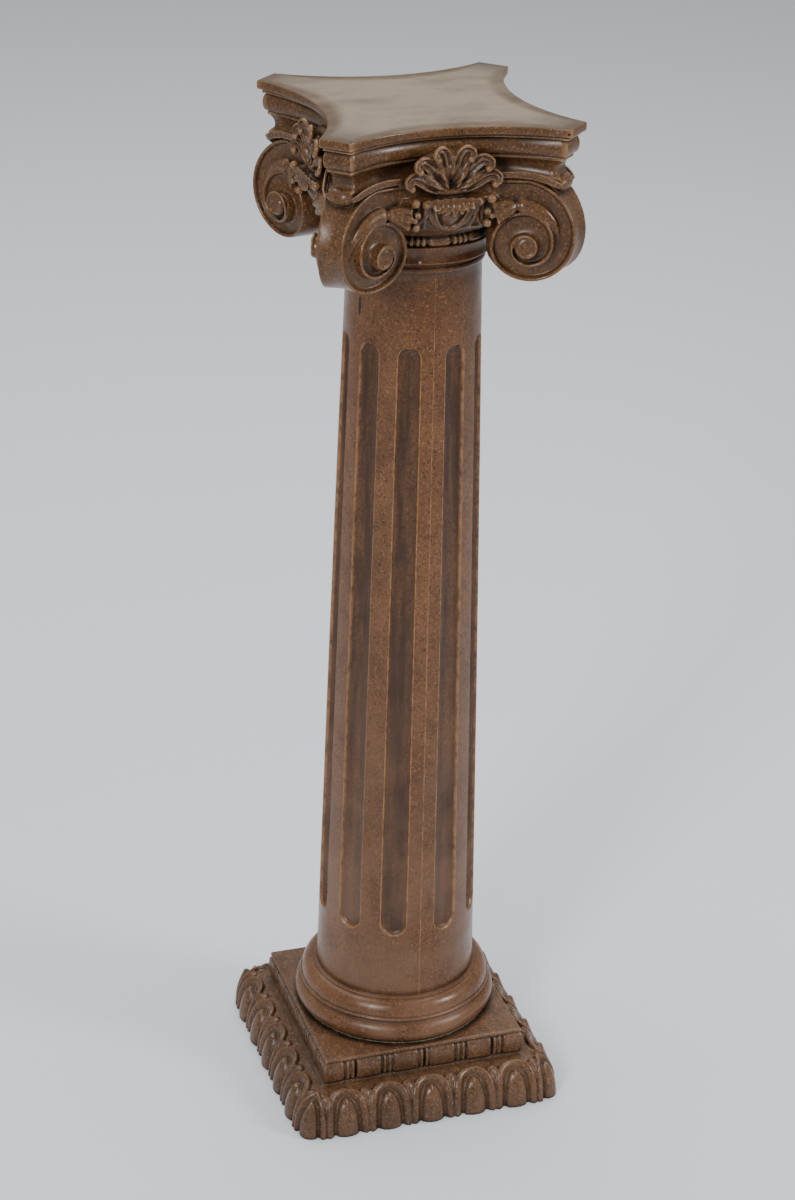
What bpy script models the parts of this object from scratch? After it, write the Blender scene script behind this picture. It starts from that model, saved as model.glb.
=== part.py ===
"""Pedestal column of cast resin: a square plinth, a round fluted shaft and an angular Ionic capital.

Metres, +Z up. The origin is the centre of the underside, and -Y is the front, on which one mould seam runs.
"""

import math

import bmesh
import bpy
from mathutils import Matrix, Vector

# Driving dimensions of the whole column
HEIGHT = 1.000
CAPITAL_HEIGHT = 0.1129
GLUE_GAP = 0.0003
WELD_DISTANCE = 0.0001
MERGE_DISTANCE = 0.00005
SMOOTH_ANGLE = math.radians(40.0)

# Share of the facets that each casting keeps once its ornament is joined on
PLINTH_KEPT_SHARE = 0.88
SHAFT_KEPT_SHARE = 0.92
CAPITAL_KEPT_SHARE = 0.74

# Plinth: a low block with a moulded edge, and a smaller slab on it
SLAB_HALF = 0.1032
SLAB_TOP = 0.0676
SLAB_ARRIS = 0.0035
SLAB_CORNER = 0.0008
STRIP_LOW = 0.0400
STRIP_HIGH = 0.0630
STRIP_RECESS = 0.0030
STRIP_MARGIN = 0.0010
LEDGE_HALF = 0.1150
LEDGE_Z = 0.0380
OVOLO_REACH = 0.0190
LEDGE_CORNER = 0.0040
EGGS_PER_SIDE = 5
EGG_SPREAD = 0.97
EGG_RELIEF = 0.0042
EGG_GROOVE = 0.0004
DART_LOW = 0.75
DART_MIDDLE = 0.22
DART_HIGH = 0.02
DART_HALF = 0.085
FOOT_RISE = 0.0005
REEL_PITCH = 0.0387
REEL_PAIRS = 5
REEL_WIDTH = 0.0034
REEL_GAP = 0.0012
REEL_RELIEF = 0.0042
STRIP_BURIED = 0.0030
STRIP_DRAFT = 0.80

# Shaft: tapered, with flutes that stop short of both ends
SHAFT_STEPS = 30
TORUS_RADIUS = 0.1015
TORUS_HEIGHT = 0.0235
LIP_RADIUS = 0.0965
LIP_RISE = 0.0030
FOOT_MOULD_HEIGHT = 0.0211
SHAFT_FOOT_RADIUS = 0.0795
SHAFT_NECK_RADIUS = 0.0616
SHAFT_BELLY = 0.0008
NECK_RING_DROP = 0.0265
NECK_RING_RADIUS = 0.0648
NECK_RING_HEIGHT = 0.0064
NECK_BAND_RADIUS = 0.0695
NECK_BAND_HEIGHT = 0.0158
FLUTE_HALF_ANGLE = math.radians(9.5)
FLUTE_STEP = math.radians(35.0)
FLUTES_PER_HALF = 5
FLUTE_DEPTH = 0.0050
FLUTE_FOOT_MARGIN = 0.0698
FLUTE_NECK_MARGIN = 0.0694
FLUTE_CUTTER_EXCESS = 0.0040

# Insets from the neck band's radius, and heights within the band as shares of its own
NECK_BAND_CURVE = ((0.0, 1.0), (0.0, 0.84), (0.0025, 0.65), (0.0015, 0.19), (0.0, 0.0))

# Distances out from the shaft's foot, and drops below it, of the moulding over the torus
FOOT_MOULD_CURVE = ((0.0, 0.0), (0.0045, 0.0010), (0.0100, 0.0070), (0.0150, 0.0146))

# Capital: plan of the abacus, a square with hollow sides and cut corners
ABACUS_REACH = 0.1205
ABACUS_CUT = 0.0212
ABACUS_HOLLOW = 0.0290
ABACUS_SLAB = 0.0080
ABACUS_HEIGHT = 0.0470
ABACUS_BURIED = 0.0072
HORN_INSET = 0.70
HORN_NARROWING = 0.25
ARC_STEPS = 6

# Insets and drops of the mouldings below the abacus's slab
ABACUS_CURVE = ((0.0065, 0.0015), (0.0070, 0.0090), (0.0140, 0.0195), (0.0140, 0.0225), (0.0215, 0.0275))
ABACUS_FOOT_INSET = 0.0230

# Capital: turned core under the abacus
BEAD_RADIUS = 0.0715
BEAD_BULGE = 0.0025
BEAD_ROW_HEIGHT = 0.0114
ECHINUS_RADIUS = 0.1000
ECHINUS_DROP = 0.0600
CORE_CROWN_INSET = 0.0220
CORE_BURIED = 0.0030
CORE_STEPS = 24

# Insets from the echinus's radius, and drops below its top
ECHINUS_CURVE = ((0.0120, -0.0010), (0.0, 0.0020), (0.0010, 0.0140), (0.0100, 0.0310))

# Capital: volutes on the four hollow faces
EYE_S = 0.0693
EYE_DROP = 0.1060
EYE_RADIUS = 0.0108
EYE_RISE = 0.0105
VOLUTE_RADII = (0.0585, 0.0415, 0.0330, 0.0315, 0.0305, 0.0240, 0.0180, 0.0145, EYE_RADIUS)
VOLUTE_STEPS_PER_QUARTER = 3
FACE_RECESS = 0.0015
RIM_WIDTH = 0.0035
CANAL_DEPTH = 0.0045
INNER_RISE = 0.0060
CANAL_BACK = 0.0450
HORN_CLEARANCE = 0.0735

# Capital: leaves, husks with berries, and curls under the corners
# Each lobe of the leaf follows points (x, y, height against the column's top)
LOBE_PATHS = (
    ((-0.006, -0.086, -0.054), (0.018, -0.095, -0.0545), (0.034, -0.098, -0.052), (0.043, -0.0935, -0.0465)),
    ((-0.005, -0.085, -0.053), (0.013, -0.096, -0.0425), (0.025, -0.0985, -0.032), (0.0315, -0.0935, -0.024)),
    ((0.001, -0.084, -0.051), (0.0065, -0.096, -0.036), (0.009, -0.099, -0.021), (0.009, -0.093, -0.0115)),
)
LOBE_RADII = (0.0050, 0.0062, 0.0058, 0.0026)
LEAF_HEART_REACH = 0.0830
LEAF_HEART_DROP = 0.0425
LEAF_HEART_SIZE = (0.0250, 0.0125, 0.0220)

# Points of the husk along the face, as height against the column's top, and lift off the face
HUSK_PATH = (
    (0.0940, -0.0900, -0.0010),
    (0.0780, -0.0720, 0.0005),
    (0.0600, -0.0710, 0.0010),
    (0.0395, -0.0750, 0.0045),
)
HUSK_RADII = (0.0020, 0.0042, 0.0032, 0.0100)
BERRY_PLACES = ((0.0370, -0.0675), (0.0355, -0.0755), (0.0370, -0.0835))
BERRY_LIFT = 0.0050
BERRY_RADIUS = 0.0045
KNOB_REACH = 0.1435
KNOB_DROP = 0.0500
KNOB_HALF_WIDTH = 0.0100
KNOB_RADIUS = 0.0060
KNOB_STEM_START = 0.1250
KNOB_STEM_RADIUS = 0.0035

# Capital: egg and arch in the middle of each face
EGG_REACH = 0.0950
EGG_WIDTH = 0.0220
EGG_HEIGHT = 0.0300
ARCH_REACH = 0.0985
ARCH_LEAN = 0.1500
ARCH_HALF_WIDTH = 0.0205
ARCH_DROP = 0.0310
ARCH_THICKNESS = 0.0026
ARCH_POINTS = 5

# Heights that follow from these
SHAFT_FOOT = SLAB_TOP + GLUE_GAP
FOOT_MOULD_TOP = SHAFT_FOOT + TORUS_HEIGHT + FOOT_MOULD_HEIGHT
FLUTE_LOW = FOOT_MOULD_TOP + FLUTE_FOOT_MARGIN
CAPITAL_FOOT = HEIGHT - CAPITAL_HEIGHT
SHAFT_TOP = CAPITAL_FOOT - GLUE_GAP
NECK_RING_Z = SHAFT_TOP - NECK_RING_DROP
FLUTE_HIGH = NECK_RING_Z - FLUTE_NECK_MARGIN
BEAD_ROW_TOP = CAPITAL_FOOT + BEAD_ROW_HEIGHT
ECHINUS_TOP = HEIGHT - ECHINUS_DROP
ABACUS_FOOT_Z = HEIGHT - ABACUS_HEIGHT
EYE_Z = HEIGHT - EYE_DROP

# The arc that each hollow side of the abacus follows in plan
ABACUS_SIDE = ABACUS_REACH - ABACUS_CUT
ABACUS_MID = ABACUS_REACH - ABACUS_HOLLOW
ARC_RADIUS = (ABACUS_SIDE**2 + ABACUS_HOLLOW**2) / (2 * ABACUS_HOLLOW)
ARC_CENTRE = ABACUS_MID + ARC_RADIUS


def clear_scene():
    for old in list(bpy.data.objects):
        bpy.data.objects.remove(old)


def new_collection(name, hidden=False):
    made = bpy.data.collections.new(name)
    bpy.context.scene.collection.children.link(made)
    made.hide_render = hidden
    return made


def material(name, colour, roughness):
    made = bpy.data.materials.new(name)
    made.use_nodes = True
    shader = made.node_tree.nodes["Principled BSDF"]
    shader.inputs["Base Color"].default_value = (*colour, 1.0)
    shader.inputs["Roughness"].default_value = roughness
    shader.inputs["Metallic"].default_value = 0.0
    return made


def object_from_bmesh(bm, name, collection, triangles=False):
    """Turns a bmesh into an object, with every face pointing out."""
    if triangles:
        bmesh.ops.triangulate(bm, faces=bm.faces)
    bmesh.ops.recalc_face_normals(bm, faces=bm.faces)
    mesh = bpy.data.meshes.new(name)
    bm.to_mesh(mesh)
    bm.free()
    mesh.shade_smooth()
    mesh.set_sharp_from_angle(angle=SMOOTH_ANGLE)
    made = bpy.data.objects.new(name, mesh)
    collection.objects.link(made)
    return made


def loft(loops, name, collection, triangles=False):
    """Joins closed loops of equal length into one solid, with a flat cap at each end."""
    bm = bmesh.new()
    rings = [[bm.verts.new(p) for p in loop] for loop in loops]
    count = len(rings[0])
    for low, high in zip(rings, rings[1:]):
        for i in range(count):
            j = (i + 1) % count
            bm.faces.new((low[i], low[j], high[j], high[i]))
    bm.faces.new(rings[0])
    bm.faces.new(rings[-1])
    return object_from_bmesh(bm, name, collection, triangles)


def turned(profile, steps, name, collection):
    """A turned solid: the profile runs from top to bottom, and a Screw modifier turns it about Z."""
    mesh = bpy.data.meshes.new(name)
    points = [(r, 0.0, z) for r, z in profile]
    mesh.from_pydata(points, [(i, i + 1) for i in range(len(points) - 1)], [])
    made = bpy.data.objects.new(name, mesh)
    collection.objects.link(made)
    screw = made.modifiers.new("turn", "SCREW")
    screw.steps = screw.render_steps = steps
    screw.use_merge_vertices = True
    screw.use_smooth_shade = True
    screw.merge_threshold = MERGE_DISTANCE
    return made


def tube(points, radii, name, collection, sides=1):
    """A rod of changing thickness along the points, as a mesh with closed ends."""
    curve = bpy.data.curves.new(name, "CURVE")
    curve.dimensions = "3D"
    curve.bevel_depth = 1.0
    curve.bevel_resolution = sides
    curve.use_fill_caps = True
    spline = curve.splines.new("POLY")
    spline.points.add(len(points) - 1)
    for point, place, radius in zip(spline.points, points, radii):
        point.co = (*place, 1.0)
        point.radius = radius
    holder = bpy.data.objects.new(name, curve)
    collection.objects.link(holder)
    bpy.context.view_layer.update()
    graph = bpy.context.evaluated_depsgraph_get()
    mesh = bpy.data.meshes.new_from_object(holder.evaluated_get(graph))
    bm = bmesh.new()
    bm.from_mesh(mesh)
    bmesh.ops.remove_doubles(bm, verts=bm.verts, dist=MERGE_DISTANCE)
    bpy.data.objects.remove(holder)
    return object_from_bmesh(bm, name, collection)


def ball(centre, scale, name, collection, turn=Matrix.Identity(4), segments=8, rings=5):
    """An ellipsoid from a UV sphere."""
    bm = bmesh.new()
    place = Matrix.Translation(centre) @ turn @ Matrix.Diagonal((*scale, 1.0))
    bmesh.ops.create_uvsphere(bm, u_segments=segments, v_segments=rings, radius=1.0, matrix=place)
    return object_from_bmesh(bm, name, collection)


def turned_copies(made, collection, count=4):
    """The object and its copies, evenly turned about the column's axis."""
    found = [made]
    for k in range(1, count):
        copy = made.copy()
        copy.rotation_euler.z = made.rotation_euler.z + 2 * math.pi * k / count
        collection.objects.link(copy)
        found.append(copy)
    return found


def mirror_mesh(made):
    """Turns the object's mesh into its mirror image across x = 0."""
    made.data.transform(Matrix.Scale(-1.0, 4, (1.0, 0.0, 0.0)))
    made.data.flip_normals()


def mirrored(made, collection):
    """The object and its mirror image across x = 0."""
    copy = made.copy()
    copy.data = made.data.copy()
    mirror_mesh(copy)
    collection.objects.link(copy)
    return [made, copy]


def add_boolean(body, others, operation, name, collection):
    """Joins or cuts a body with every mesh in a collection of its own."""
    group = bpy.data.collections.new(name)
    collection.children.link(group)
    for other in others:
        for owner in list(other.users_collection):
            owner.objects.unlink(other)
        group.objects.link(other)
        other.hide_render = True
        other.display_type = "WIRE"
    modifier = body.modifiers.new(name, "BOOLEAN")
    modifier.operation = operation
    modifier.operand_type = "COLLECTION"
    modifier.collection = group


def finish(body, paint, kept_share):
    """Thins out the facets that the joins left, and gives the body its material."""
    weld = body.modifiers.new("weld", "WELD")
    weld.merge_threshold = WELD_DISTANCE
    thin = body.modifiers.new("thin", "DECIMATE")
    thin.ratio = kept_share
    body.data.materials.clear()
    body.data.materials.append(paint)


# Plinth


def rounded_square(half, radius, z, corner_steps=3):
    """A square loop with rounded corners, from the front left corner anticlockwise."""
    loop = []
    for corner in range(4):
        centre = Matrix.Rotation(corner * math.pi / 2, 3, "Z") @ Vector((-1.0, -1.0, 0.0)) * (half - radius)
        for step in range(corner_steps + 1):
            turn = math.pi + (corner + step / corner_steps) * math.pi / 2
            loop.append((centre.x + radius * math.cos(turn), centre.y + radius * math.sin(turn), z))
    return loop


def ovolo(share):
    """Reach outwards and height of the plinth's rounded edge, from the ledge (0) to the foot (1)."""
    turn = share * math.pi / 2
    return OVOLO_REACH * math.sin(turn), LEDGE_Z * math.cos(turn)


def edge_point(u, share, lift):
    """A point on the rounded edge of the front or of its right corner, raised by lift.

    u is 0 at the front's middle and 1 at the end of its straight part, and runs on to 2 round the corner.
    """
    reach, z = ovolo(share)
    turn = share * math.pi / 2
    outwards = math.sin(turn)
    upwards = math.cos(turn)
    straight = LEDGE_HALF - LEDGE_CORNER
    radius = LEDGE_CORNER + reach + lift * outwards
    z = z + lift * upwards
    if u <= 1.0:
        return Vector((u * straight, -straight - radius, z))
    bend = (u - 1.0) * math.pi / 2
    return Vector((straight + radius * math.sin(bend), -straight - radius * math.cos(bend), z))


def egg_motif(u_middle, u_half, name, collection, steps=6):
    """An egg in its arched frame, laid on the rounded edge of the plinth."""
    rings = (
        (1.00, 0.00, -EGG_RELIEF),
        (0.84, 0.10, EGG_RELIEF),
        (0.60, 0.28, EGG_GROOVE),
        (0.25, 0.44, EGG_RELIEF * 1.15),
    )
    foot = 1.0 - FOOT_RISE / LEDGE_Z
    bm = bmesh.new()
    rows = []
    for width, crown, lift in rings:
        row = []
        for step in range(steps + 1):
            turn = math.pi * step / steps
            across = -math.cos(turn) * width
            rise = math.sin(turn) ** 0.75
            share = foot - (foot - crown) * rise if 0 < step < steps else foot
            row.append(bm.verts.new(edge_point(u_middle + across * u_half * EGG_SPREAD, share, lift)))
        rows.append(row)
    for outer, inner in zip(rows, rows[1:]):
        for i in range(steps):
            bm.faces.new((outer[i], outer[i + 1], inner[i + 1], inner[i]))
    bm.faces.new(rows[-1])
    bm.faces.new([row[0] for row in rows] + [row[-1] for row in reversed(rows)])
    bm.faces.new(list(reversed(rows[0])))
    return object_from_bmesh(bm, name, collection)


def dart_motif(u_middle, name, collection):
    """The small pointed leaf that fills the gap between two frames."""
    outline = ((0.0, DART_LOW), (DART_HALF, DART_MIDDLE), (0.0, DART_HIGH), (-DART_HALF, DART_MIDDLE))
    bm = bmesh.new()
    back = [bm.verts.new(edge_point(u_middle + u, share, -EGG_RELIEF)) for u, share in outline]
    crest = bm.verts.new(edge_point(u_middle, DART_MIDDLE, EGG_RELIEF))
    bm.faces.new(back)
    for k in range(4):
        bm.faces.new((back[k], back[(k + 1) % 4], crest))
    return object_from_bmesh(bm, name, collection)


def plinth_strip(collection):
    """Barrels and paired reels along the edge of the upper slab."""
    pieces = []
    height = STRIP_HIGH - STRIP_LOW - STRIP_MARGIN * 2
    middle = (STRIP_HIGH + STRIP_LOW) / 2
    face = SLAB_HALF - STRIP_RECESS
    pair_half = REEL_WIDTH + REEL_GAP / 2

    def bar(low, high, relief, name):
        bm = bmesh.new()
        size = (high - low, relief + STRIP_BURIED, height)
        place = Matrix.Translation(((low + high) / 2, -face - (relief - STRIP_BURIED) / 2, middle))
        bmesh.ops.create_cube(bm, size=1.0, matrix=place @ Matrix.Diagonal((*size, 1.0)))
        front = [v for v in bm.verts if v.co.y < -face]
        for v in front:
            v.co.z = middle + (v.co.z - middle) * STRIP_DRAFT
        return object_from_bmesh(bm, name, collection)

    ends = [k * REEL_PITCH for k in range(-(REEL_PAIRS // 2), REEL_PAIRS // 2 + 1)]
    for k, x in enumerate(ends):
        pieces.append(bar(x - pair_half, x - REEL_GAP / 2, REEL_RELIEF, f"reel_{k}_a"))
        pieces.append(bar(x + REEL_GAP / 2, x + pair_half, REEL_RELIEF, f"reel_{k}_b"))
    for k, (left, right) in enumerate(zip(ends, ends[1:])):
        start = left + pair_half + REEL_GAP
        pieces.append(bar(start, right - pair_half - REEL_GAP, REEL_RELIEF, f"barrel_{k}"))
    return pieces


def corner_barrel(collection):
    """The barrel that turns the corner of the upper slab."""
    start = (REEL_PAIRS // 2) * REEL_PITCH + REEL_WIDTH + REEL_GAP * 1.5
    face = SLAB_HALF - STRIP_RECESS
    low = STRIP_LOW + STRIP_MARGIN
    high = STRIP_HIGH - STRIP_MARGIN
    draft = (high - low) * (1 - STRIP_DRAFT) / 2
    outer = face + REEL_RELIEF
    inner = face - STRIP_BURIED

    def loop(reach, z):
        return [(start, -reach, z), (reach, -reach, z), (reach, -start, z), (start, -start, z)]

    levels = ((inner, low), (outer, low + draft), (outer, high - draft), (inner, high))
    return loft([loop(reach, z) for reach, z in levels], "corner_barrel", collection)


def build_plinth(collection, tools, paint):
    profile = [(LEDGE_HALF + ovolo(1.0 - k / 3)[0], ovolo(1.0 - k / 3)[1]) for k in range(4)]
    loops = [rounded_square(half, LEDGE_CORNER + half - LEDGE_HALF, z) for half, z in profile]
    strip = SLAB_HALF - STRIP_RECESS
    upper = (
        (strip, STRIP_LOW),
        (strip, STRIP_HIGH),
        (SLAB_HALF, SLAB_TOP - SLAB_ARRIS),
        (SLAB_HALF, SLAB_TOP),
    )
    loops += [rounded_square(half, SLAB_CORNER, z) for half, z in upper]
    body = loft(loops, "plinth", collection)
    ornaments = []
    half = 1.0 / EGGS_PER_SIDE
    for k in range(EGGS_PER_SIDE):
        middle = (2 * k - EGGS_PER_SIDE + 1) * half
        side = egg_motif(abs(middle), half, f"egg_{k}", tools)
        if middle < 0:
            mirror_mesh(side)
        ornaments += turned_copies(side, tools)
    ornaments += turned_copies(egg_motif(1.5, 0.5, "egg_corner", tools), tools)
    for k in range(EGGS_PER_SIDE // 2 + 1):
        for dart in mirrored(dart_motif((2 * k + 1) * half, f"dart_{k}", tools), tools):
            ornaments += turned_copies(dart, tools)
    for piece in plinth_strip(tools) + [corner_barrel(tools)]:
        ornaments += turned_copies(piece, tools)
    add_boolean(body, ornaments, "UNION", "plinth_ornament", tools)
    finish(body, paint, PLINTH_KEPT_SHARE)
    return body


# Shaft


def shaft_radius(z):
    """Radius of the shaft's plain surface, tapered with a slight swelling."""
    share = (z - FOOT_MOULD_TOP) / (NECK_RING_Z - FOOT_MOULD_TOP)
    straight = SHAFT_FOOT_RADIUS + (SHAFT_NECK_RADIUS - SHAFT_FOOT_RADIUS) * share
    return straight + SHAFT_BELLY * 4 * share * (1 - share)


def flute_cutter(angle, tools, steps=6, end_steps=2):
    """A trough with round ends that cuts one flute."""
    loops = []
    low_half = shaft_radius(FLUTE_LOW) * math.sin(FLUTE_HALF_ANGLE)
    high_half = shaft_radius(FLUTE_HIGH) * math.sin(FLUTE_HALF_ANGLE)
    stations = []
    for k in range(1, end_steps + 1):
        turn = math.pi / 2 * k / end_steps
        stations.append((FLUTE_LOW + low_half * (1 - math.cos(turn)), math.sin(turn)))
    stations.append(((FLUTE_LOW + FLUTE_HIGH) / 2, 1.0))
    for k in range(end_steps, 0, -1):
        turn = math.pi / 2 * k / end_steps
        stations.append((FLUTE_HIGH - high_half * (1 - math.cos(turn)), math.sin(turn)))
    for z, open_share in stations:
        radius = shaft_radius(z)
        half = radius * math.sin(FLUTE_HALF_ANGLE) * open_share
        sag = radius - math.sqrt(radius**2 - half**2)
        depth = FLUTE_DEPTH * open_share**0.5
        loop = []
        for step in range(steps + 1):
            turn = math.pi * step / steps
            across = -math.cos(turn) * half
            inwards = sag + (depth - sag) * math.sin(turn) ** 0.6
            loop.append(Vector((across, -(radius - inwards), z)))
        loop.append(Vector((half, -(radius + FLUTE_CUTTER_EXCESS), z)))
        loop.append(Vector((-half, -(radius + FLUTE_CUTTER_EXCESS), z)))
        loops.append([Matrix.Rotation(angle, 3, "Z") @ p for p in loop])
    return loft(loops, "flute", tools)


def build_shaft(collection, tools, paint):
    torus_radius = TORUS_HEIGHT / 2
    torus_middle = SHAFT_FOOT + torus_radius
    torus_core = TORUS_RADIUS - torus_radius
    groove = SHAFT_FOOT + TORUS_HEIGHT
    band_foot = SHAFT_TOP - NECK_BAND_HEIGHT
    ring_top = NECK_RING_Z + NECK_RING_HEIGHT
    halfway = (FLUTE_LOW + FLUTE_HIGH) / 2
    profile = [(0.0, SHAFT_TOP)]
    for inset, share in NECK_BAND_CURVE:
        profile.append((NECK_BAND_RADIUS - inset, band_foot + NECK_BAND_HEIGHT * share))
    profile += [
        (NECK_RING_RADIUS - NECK_RING_HEIGHT * 0.3, ring_top + NECK_RING_HEIGHT * 0.15),
        (NECK_RING_RADIUS, ring_top - NECK_RING_HEIGHT * 0.27),
        (NECK_RING_RADIUS, NECK_RING_Z + NECK_RING_HEIGHT * 0.27),
        (shaft_radius(NECK_RING_Z), NECK_RING_Z),
        (shaft_radius(halfway), halfway),
    ]
    profile += [(SHAFT_FOOT_RADIUS + out, FOOT_MOULD_TOP - drop) for out, drop in FOOT_MOULD_CURVE]
    profile += [(LIP_RADIUS, groove + LIP_RISE), (torus_core + GLUE_GAP * 3, groove - GLUE_GAP)]
    for k in range(1, 4):
        turn = math.pi / 2 - math.pi * k / 4
        out = torus_core + torus_radius * math.cos(turn)
        profile.append((out, torus_middle + torus_radius * math.sin(turn)))
    profile += [(torus_core, SHAFT_FOOT), (0.0, SHAFT_FOOT)]
    body = turned(profile, SHAFT_STEPS, "shaft", collection)
    cutters = []
    first = -FLUTE_STEP * (FLUTES_PER_HALF - 1) / 2
    for half in (0.5, -0.5):
        for k in range(FLUTES_PER_HALF):
            cutters.append(flute_cutter(half * math.pi + first + k * FLUTE_STEP, tools))
    add_boolean(body, cutters, "DIFFERENCE", "flutes", tools)
    finish(body, paint, SHAFT_KEPT_SHARE)
    return body


# Capital


def face_point(s, z, lift):
    """A point on the hollow front face: s along its curve, z up, and lift towards the viewer."""
    turn = s / ARC_RADIUS
    reach = ARC_RADIUS + FACE_RECESS - lift
    return Vector((reach * math.sin(turn), -ARC_CENTRE + reach * math.cos(turn), z))


def abacus_loop(inset, z):
    """The plan of the abacus, drawn in by inset at its sides and by less at its corners."""
    middle = ABACUS_MID - inset
    diagonal = (ABACUS_REACH + ABACUS_SIDE) / math.sqrt(2) - inset * HORN_INSET
    half_cut = ABACUS_CUT / math.sqrt(2) - inset * HORN_NARROWING
    end_x = (diagonal - half_cut) / math.sqrt(2)
    end_y = (diagonal + half_cut) / math.sqrt(2)
    sag = end_y - middle
    radius = (end_x**2 + sag**2) / (2 * sag)
    limit = math.asin(end_x / radius)
    loop = []
    for quarter in range(4):
        turn = Matrix.Rotation(quarter * math.pi / 2, 3, "Z")
        for step in range(ARC_STEPS + 1):
            angle = limit * (2 * step / ARC_STEPS - 1)
            y = radius * math.cos(angle) - middle - radius
            loop.append(turn @ Vector((radius * math.sin(angle), y, z)))
    return loop


def build_abacus(tools):
    slab = HEIGHT - ABACUS_SLAB
    profile = [(0.0, HEIGHT), (0.0, slab)]
    profile += [(inset, slab - drop) for inset, drop in ABACUS_CURVE]
    profile += [(ABACUS_FOOT_INSET, ABACUS_FOOT_Z), (ABACUS_FOOT_INSET, ABACUS_FOOT_Z - ABACUS_BURIED)]
    return loft([abacus_loop(inset, z) for inset, z in profile], "abacus", tools, triangles=True)


def volute_radius(quarter):
    """Radius of the spiral's outer edge after so many quarter turns from its top."""
    last = len(VOLUTE_RADII) - 1
    k = min(int(quarter), last - 1)
    before = VOLUTE_RADII[max(k - 1, 0)]
    here, after = VOLUTE_RADII[k], VOLUTE_RADII[k + 1]
    beyond = VOLUTE_RADII[min(k + 2, last)]
    t = quarter - k
    start, end = (after - before) / 2, (beyond - here) / 2
    if k == 0:
        start = after - here
    square = t * t
    cube = square * t
    near = (2 * cube - 3 * square + 1) * here + (cube - 2 * square + t) * start
    return near + (3 * square - 2 * cube) * after + (cube - square) * end


def rim_lift(quarter):
    """Each inner turn of the spiral stands prouder than the one round it."""
    share = min(max((quarter - 2.5) / 2.5, 0.0), 1.0)
    return INNER_RISE * share * share * (3 - 2 * share)


def volute_section(quarter):
    """Distances from the eye, and lifts, across one turn: sloped rim and hollow canal."""
    outer = volute_radius(quarter)
    inner = volute_radius(quarter + 4) if quarter <= 4 else EYE_RADIUS
    crest = rim_lift(quarter)
    rim = min(RIM_WIDTH, (outer - inner) * 0.5)
    floor = crest - volute_depth(quarter)
    return [(outer, crest), (outer - rim, floor), (inner, floor)]


def volute_depth(quarter):
    """Depth of the hollow in the spiral's band, which dies out at the eye."""
    return CANAL_DEPTH * min(max((8.0 - quarter) / 1.5, 0.0), 1.0)


def half_face():
    """Half of one hollow face: a canal from its middle, a volute, and the horn's wall to the diagonal.

    It is open at x = 0 and at the diagonal plane, where its mirror images join it.
    """
    bm = bmesh.new()
    steps = VOLUTE_STEPS_PER_QUARTER
    turn_rows = 4 * steps

    def front(s, distance, turn, lift):
        z = EYE_Z + distance * math.cos(turn)
        return bm.verts.new(face_point(s + distance * math.sin(turn), z, lift))

    def back(quarter):
        """The wall's foot on the diagonal plane, clear of the shaft's neck."""
        turn = quarter * math.pi / 2
        distance = volute_radius(quarter)
        nearest = HORN_CLEARANCE / math.sqrt(2)
        angle = (EYE_S + distance * math.sin(turn)) / ARC_RADIUS
        out = ARC_CENTRE / (math.sin(angle) + math.cos(angle)) * math.sin(angle)
        out = max(out, nearest) if 0.0 < quarter < 3.0 else nearest
        return bm.verts.new((out, -out, EYE_Z + distance * math.cos(turn)))

    canal = []
    canal_back = []
    for s in (0.0, EYE_S * 0.5):
        section = volute_section(0.0)
        canal.append([front(s, distance, 0.0, lift) for distance, lift in section])
        canal_back.append([front(s, section[i][0], 0.0, -CANAL_BACK) for i in (0, -1)])
    spiral = []
    for k in range(2 * turn_rows + 1):
        quarter = k / steps
        turn = quarter * math.pi / 2
        spiral.append([front(EYE_S, distance, turn, lift) for distance, lift in volute_section(quarter)])
    walls = [back(k / steps) for k in range(turn_rows + 1)]
    rows = canal + spiral
    for row, after in zip(rows, rows[1:]):
        for i in range(len(row) - 1):
            bm.faces.new((row[i], row[i + 1], after[i + 1], after[i]))
    tops = [pair[0] for pair in canal_back] + [walls[0]]
    feet = [pair[1] for pair in canal_back] + [walls[-1]]
    for k in range(len(tops) - 1):
        bm.faces.new((tops[k], tops[k + 1], rows[k + 1][0], rows[k][0]))
        bm.faces.new((rows[k][-1], rows[k + 1][-1], feet[k + 1], feet[k]))
        bm.faces.new((feet[k], feet[k + 1], tops[k + 1], tops[k]))
    for k in range(turn_rows - 1):
        bm.faces.new((walls[k], walls[k + 1], spiral[k + 1][0], spiral[k][0]))
    bm.faces.new((walls[-2], walls[-1], spiral[0][-1], spiral[turn_rows][0], spiral[turn_rows - 1][0]))
    for k in range(turn_rows):
        inner, outer = spiral[k], spiral[k + turn_rows]
        bm.faces.new((inner[-1], spiral[k + 1][-1], spiral[k + turn_rows + 1][0], outer[0]))
    eye = []
    for k in range(turn_rows):
        eye.append(front(EYE_S, EYE_RADIUS * 0.75, k / steps * math.pi / 2, EYE_RISE))
    ring = [row[-1] for row in spiral[turn_rows:]]
    for k in range(turn_rows):
        bm.faces.new((ring[k], ring[k + 1], eye[(k + 1) % turn_rows], eye[k]))
    bm.faces.new((ring[-1], ring[0], eye[0]))
    bm.faces.new(eye)
    bmesh.ops.remove_doubles(bm, verts=bm.verts, dist=MERGE_DISTANCE)
    return bm


def build_faces(tools):
    """The four hollow faces with their eight volutes, as one ring that closes on itself."""
    whole = bmesh.new()
    half = half_face()
    for quarter in range(4):
        for flip in (1.0, -1.0):
            place = Matrix.Rotation(quarter * math.pi / 2, 4, "Z") @ Matrix.Diagonal((flip, 1.0, 1.0, 1.0))
            made = {v: whole.verts.new(place @ v.co) for v in half.verts}
            for face in half.faces:
                whole.faces.new([made[v] for v in face.verts])
    half.free()
    bmesh.ops.remove_doubles(whole, verts=whole.verts, dist=MERGE_DISTANCE)
    return object_from_bmesh(whole, "faces", tools, triangles=True)


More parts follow.
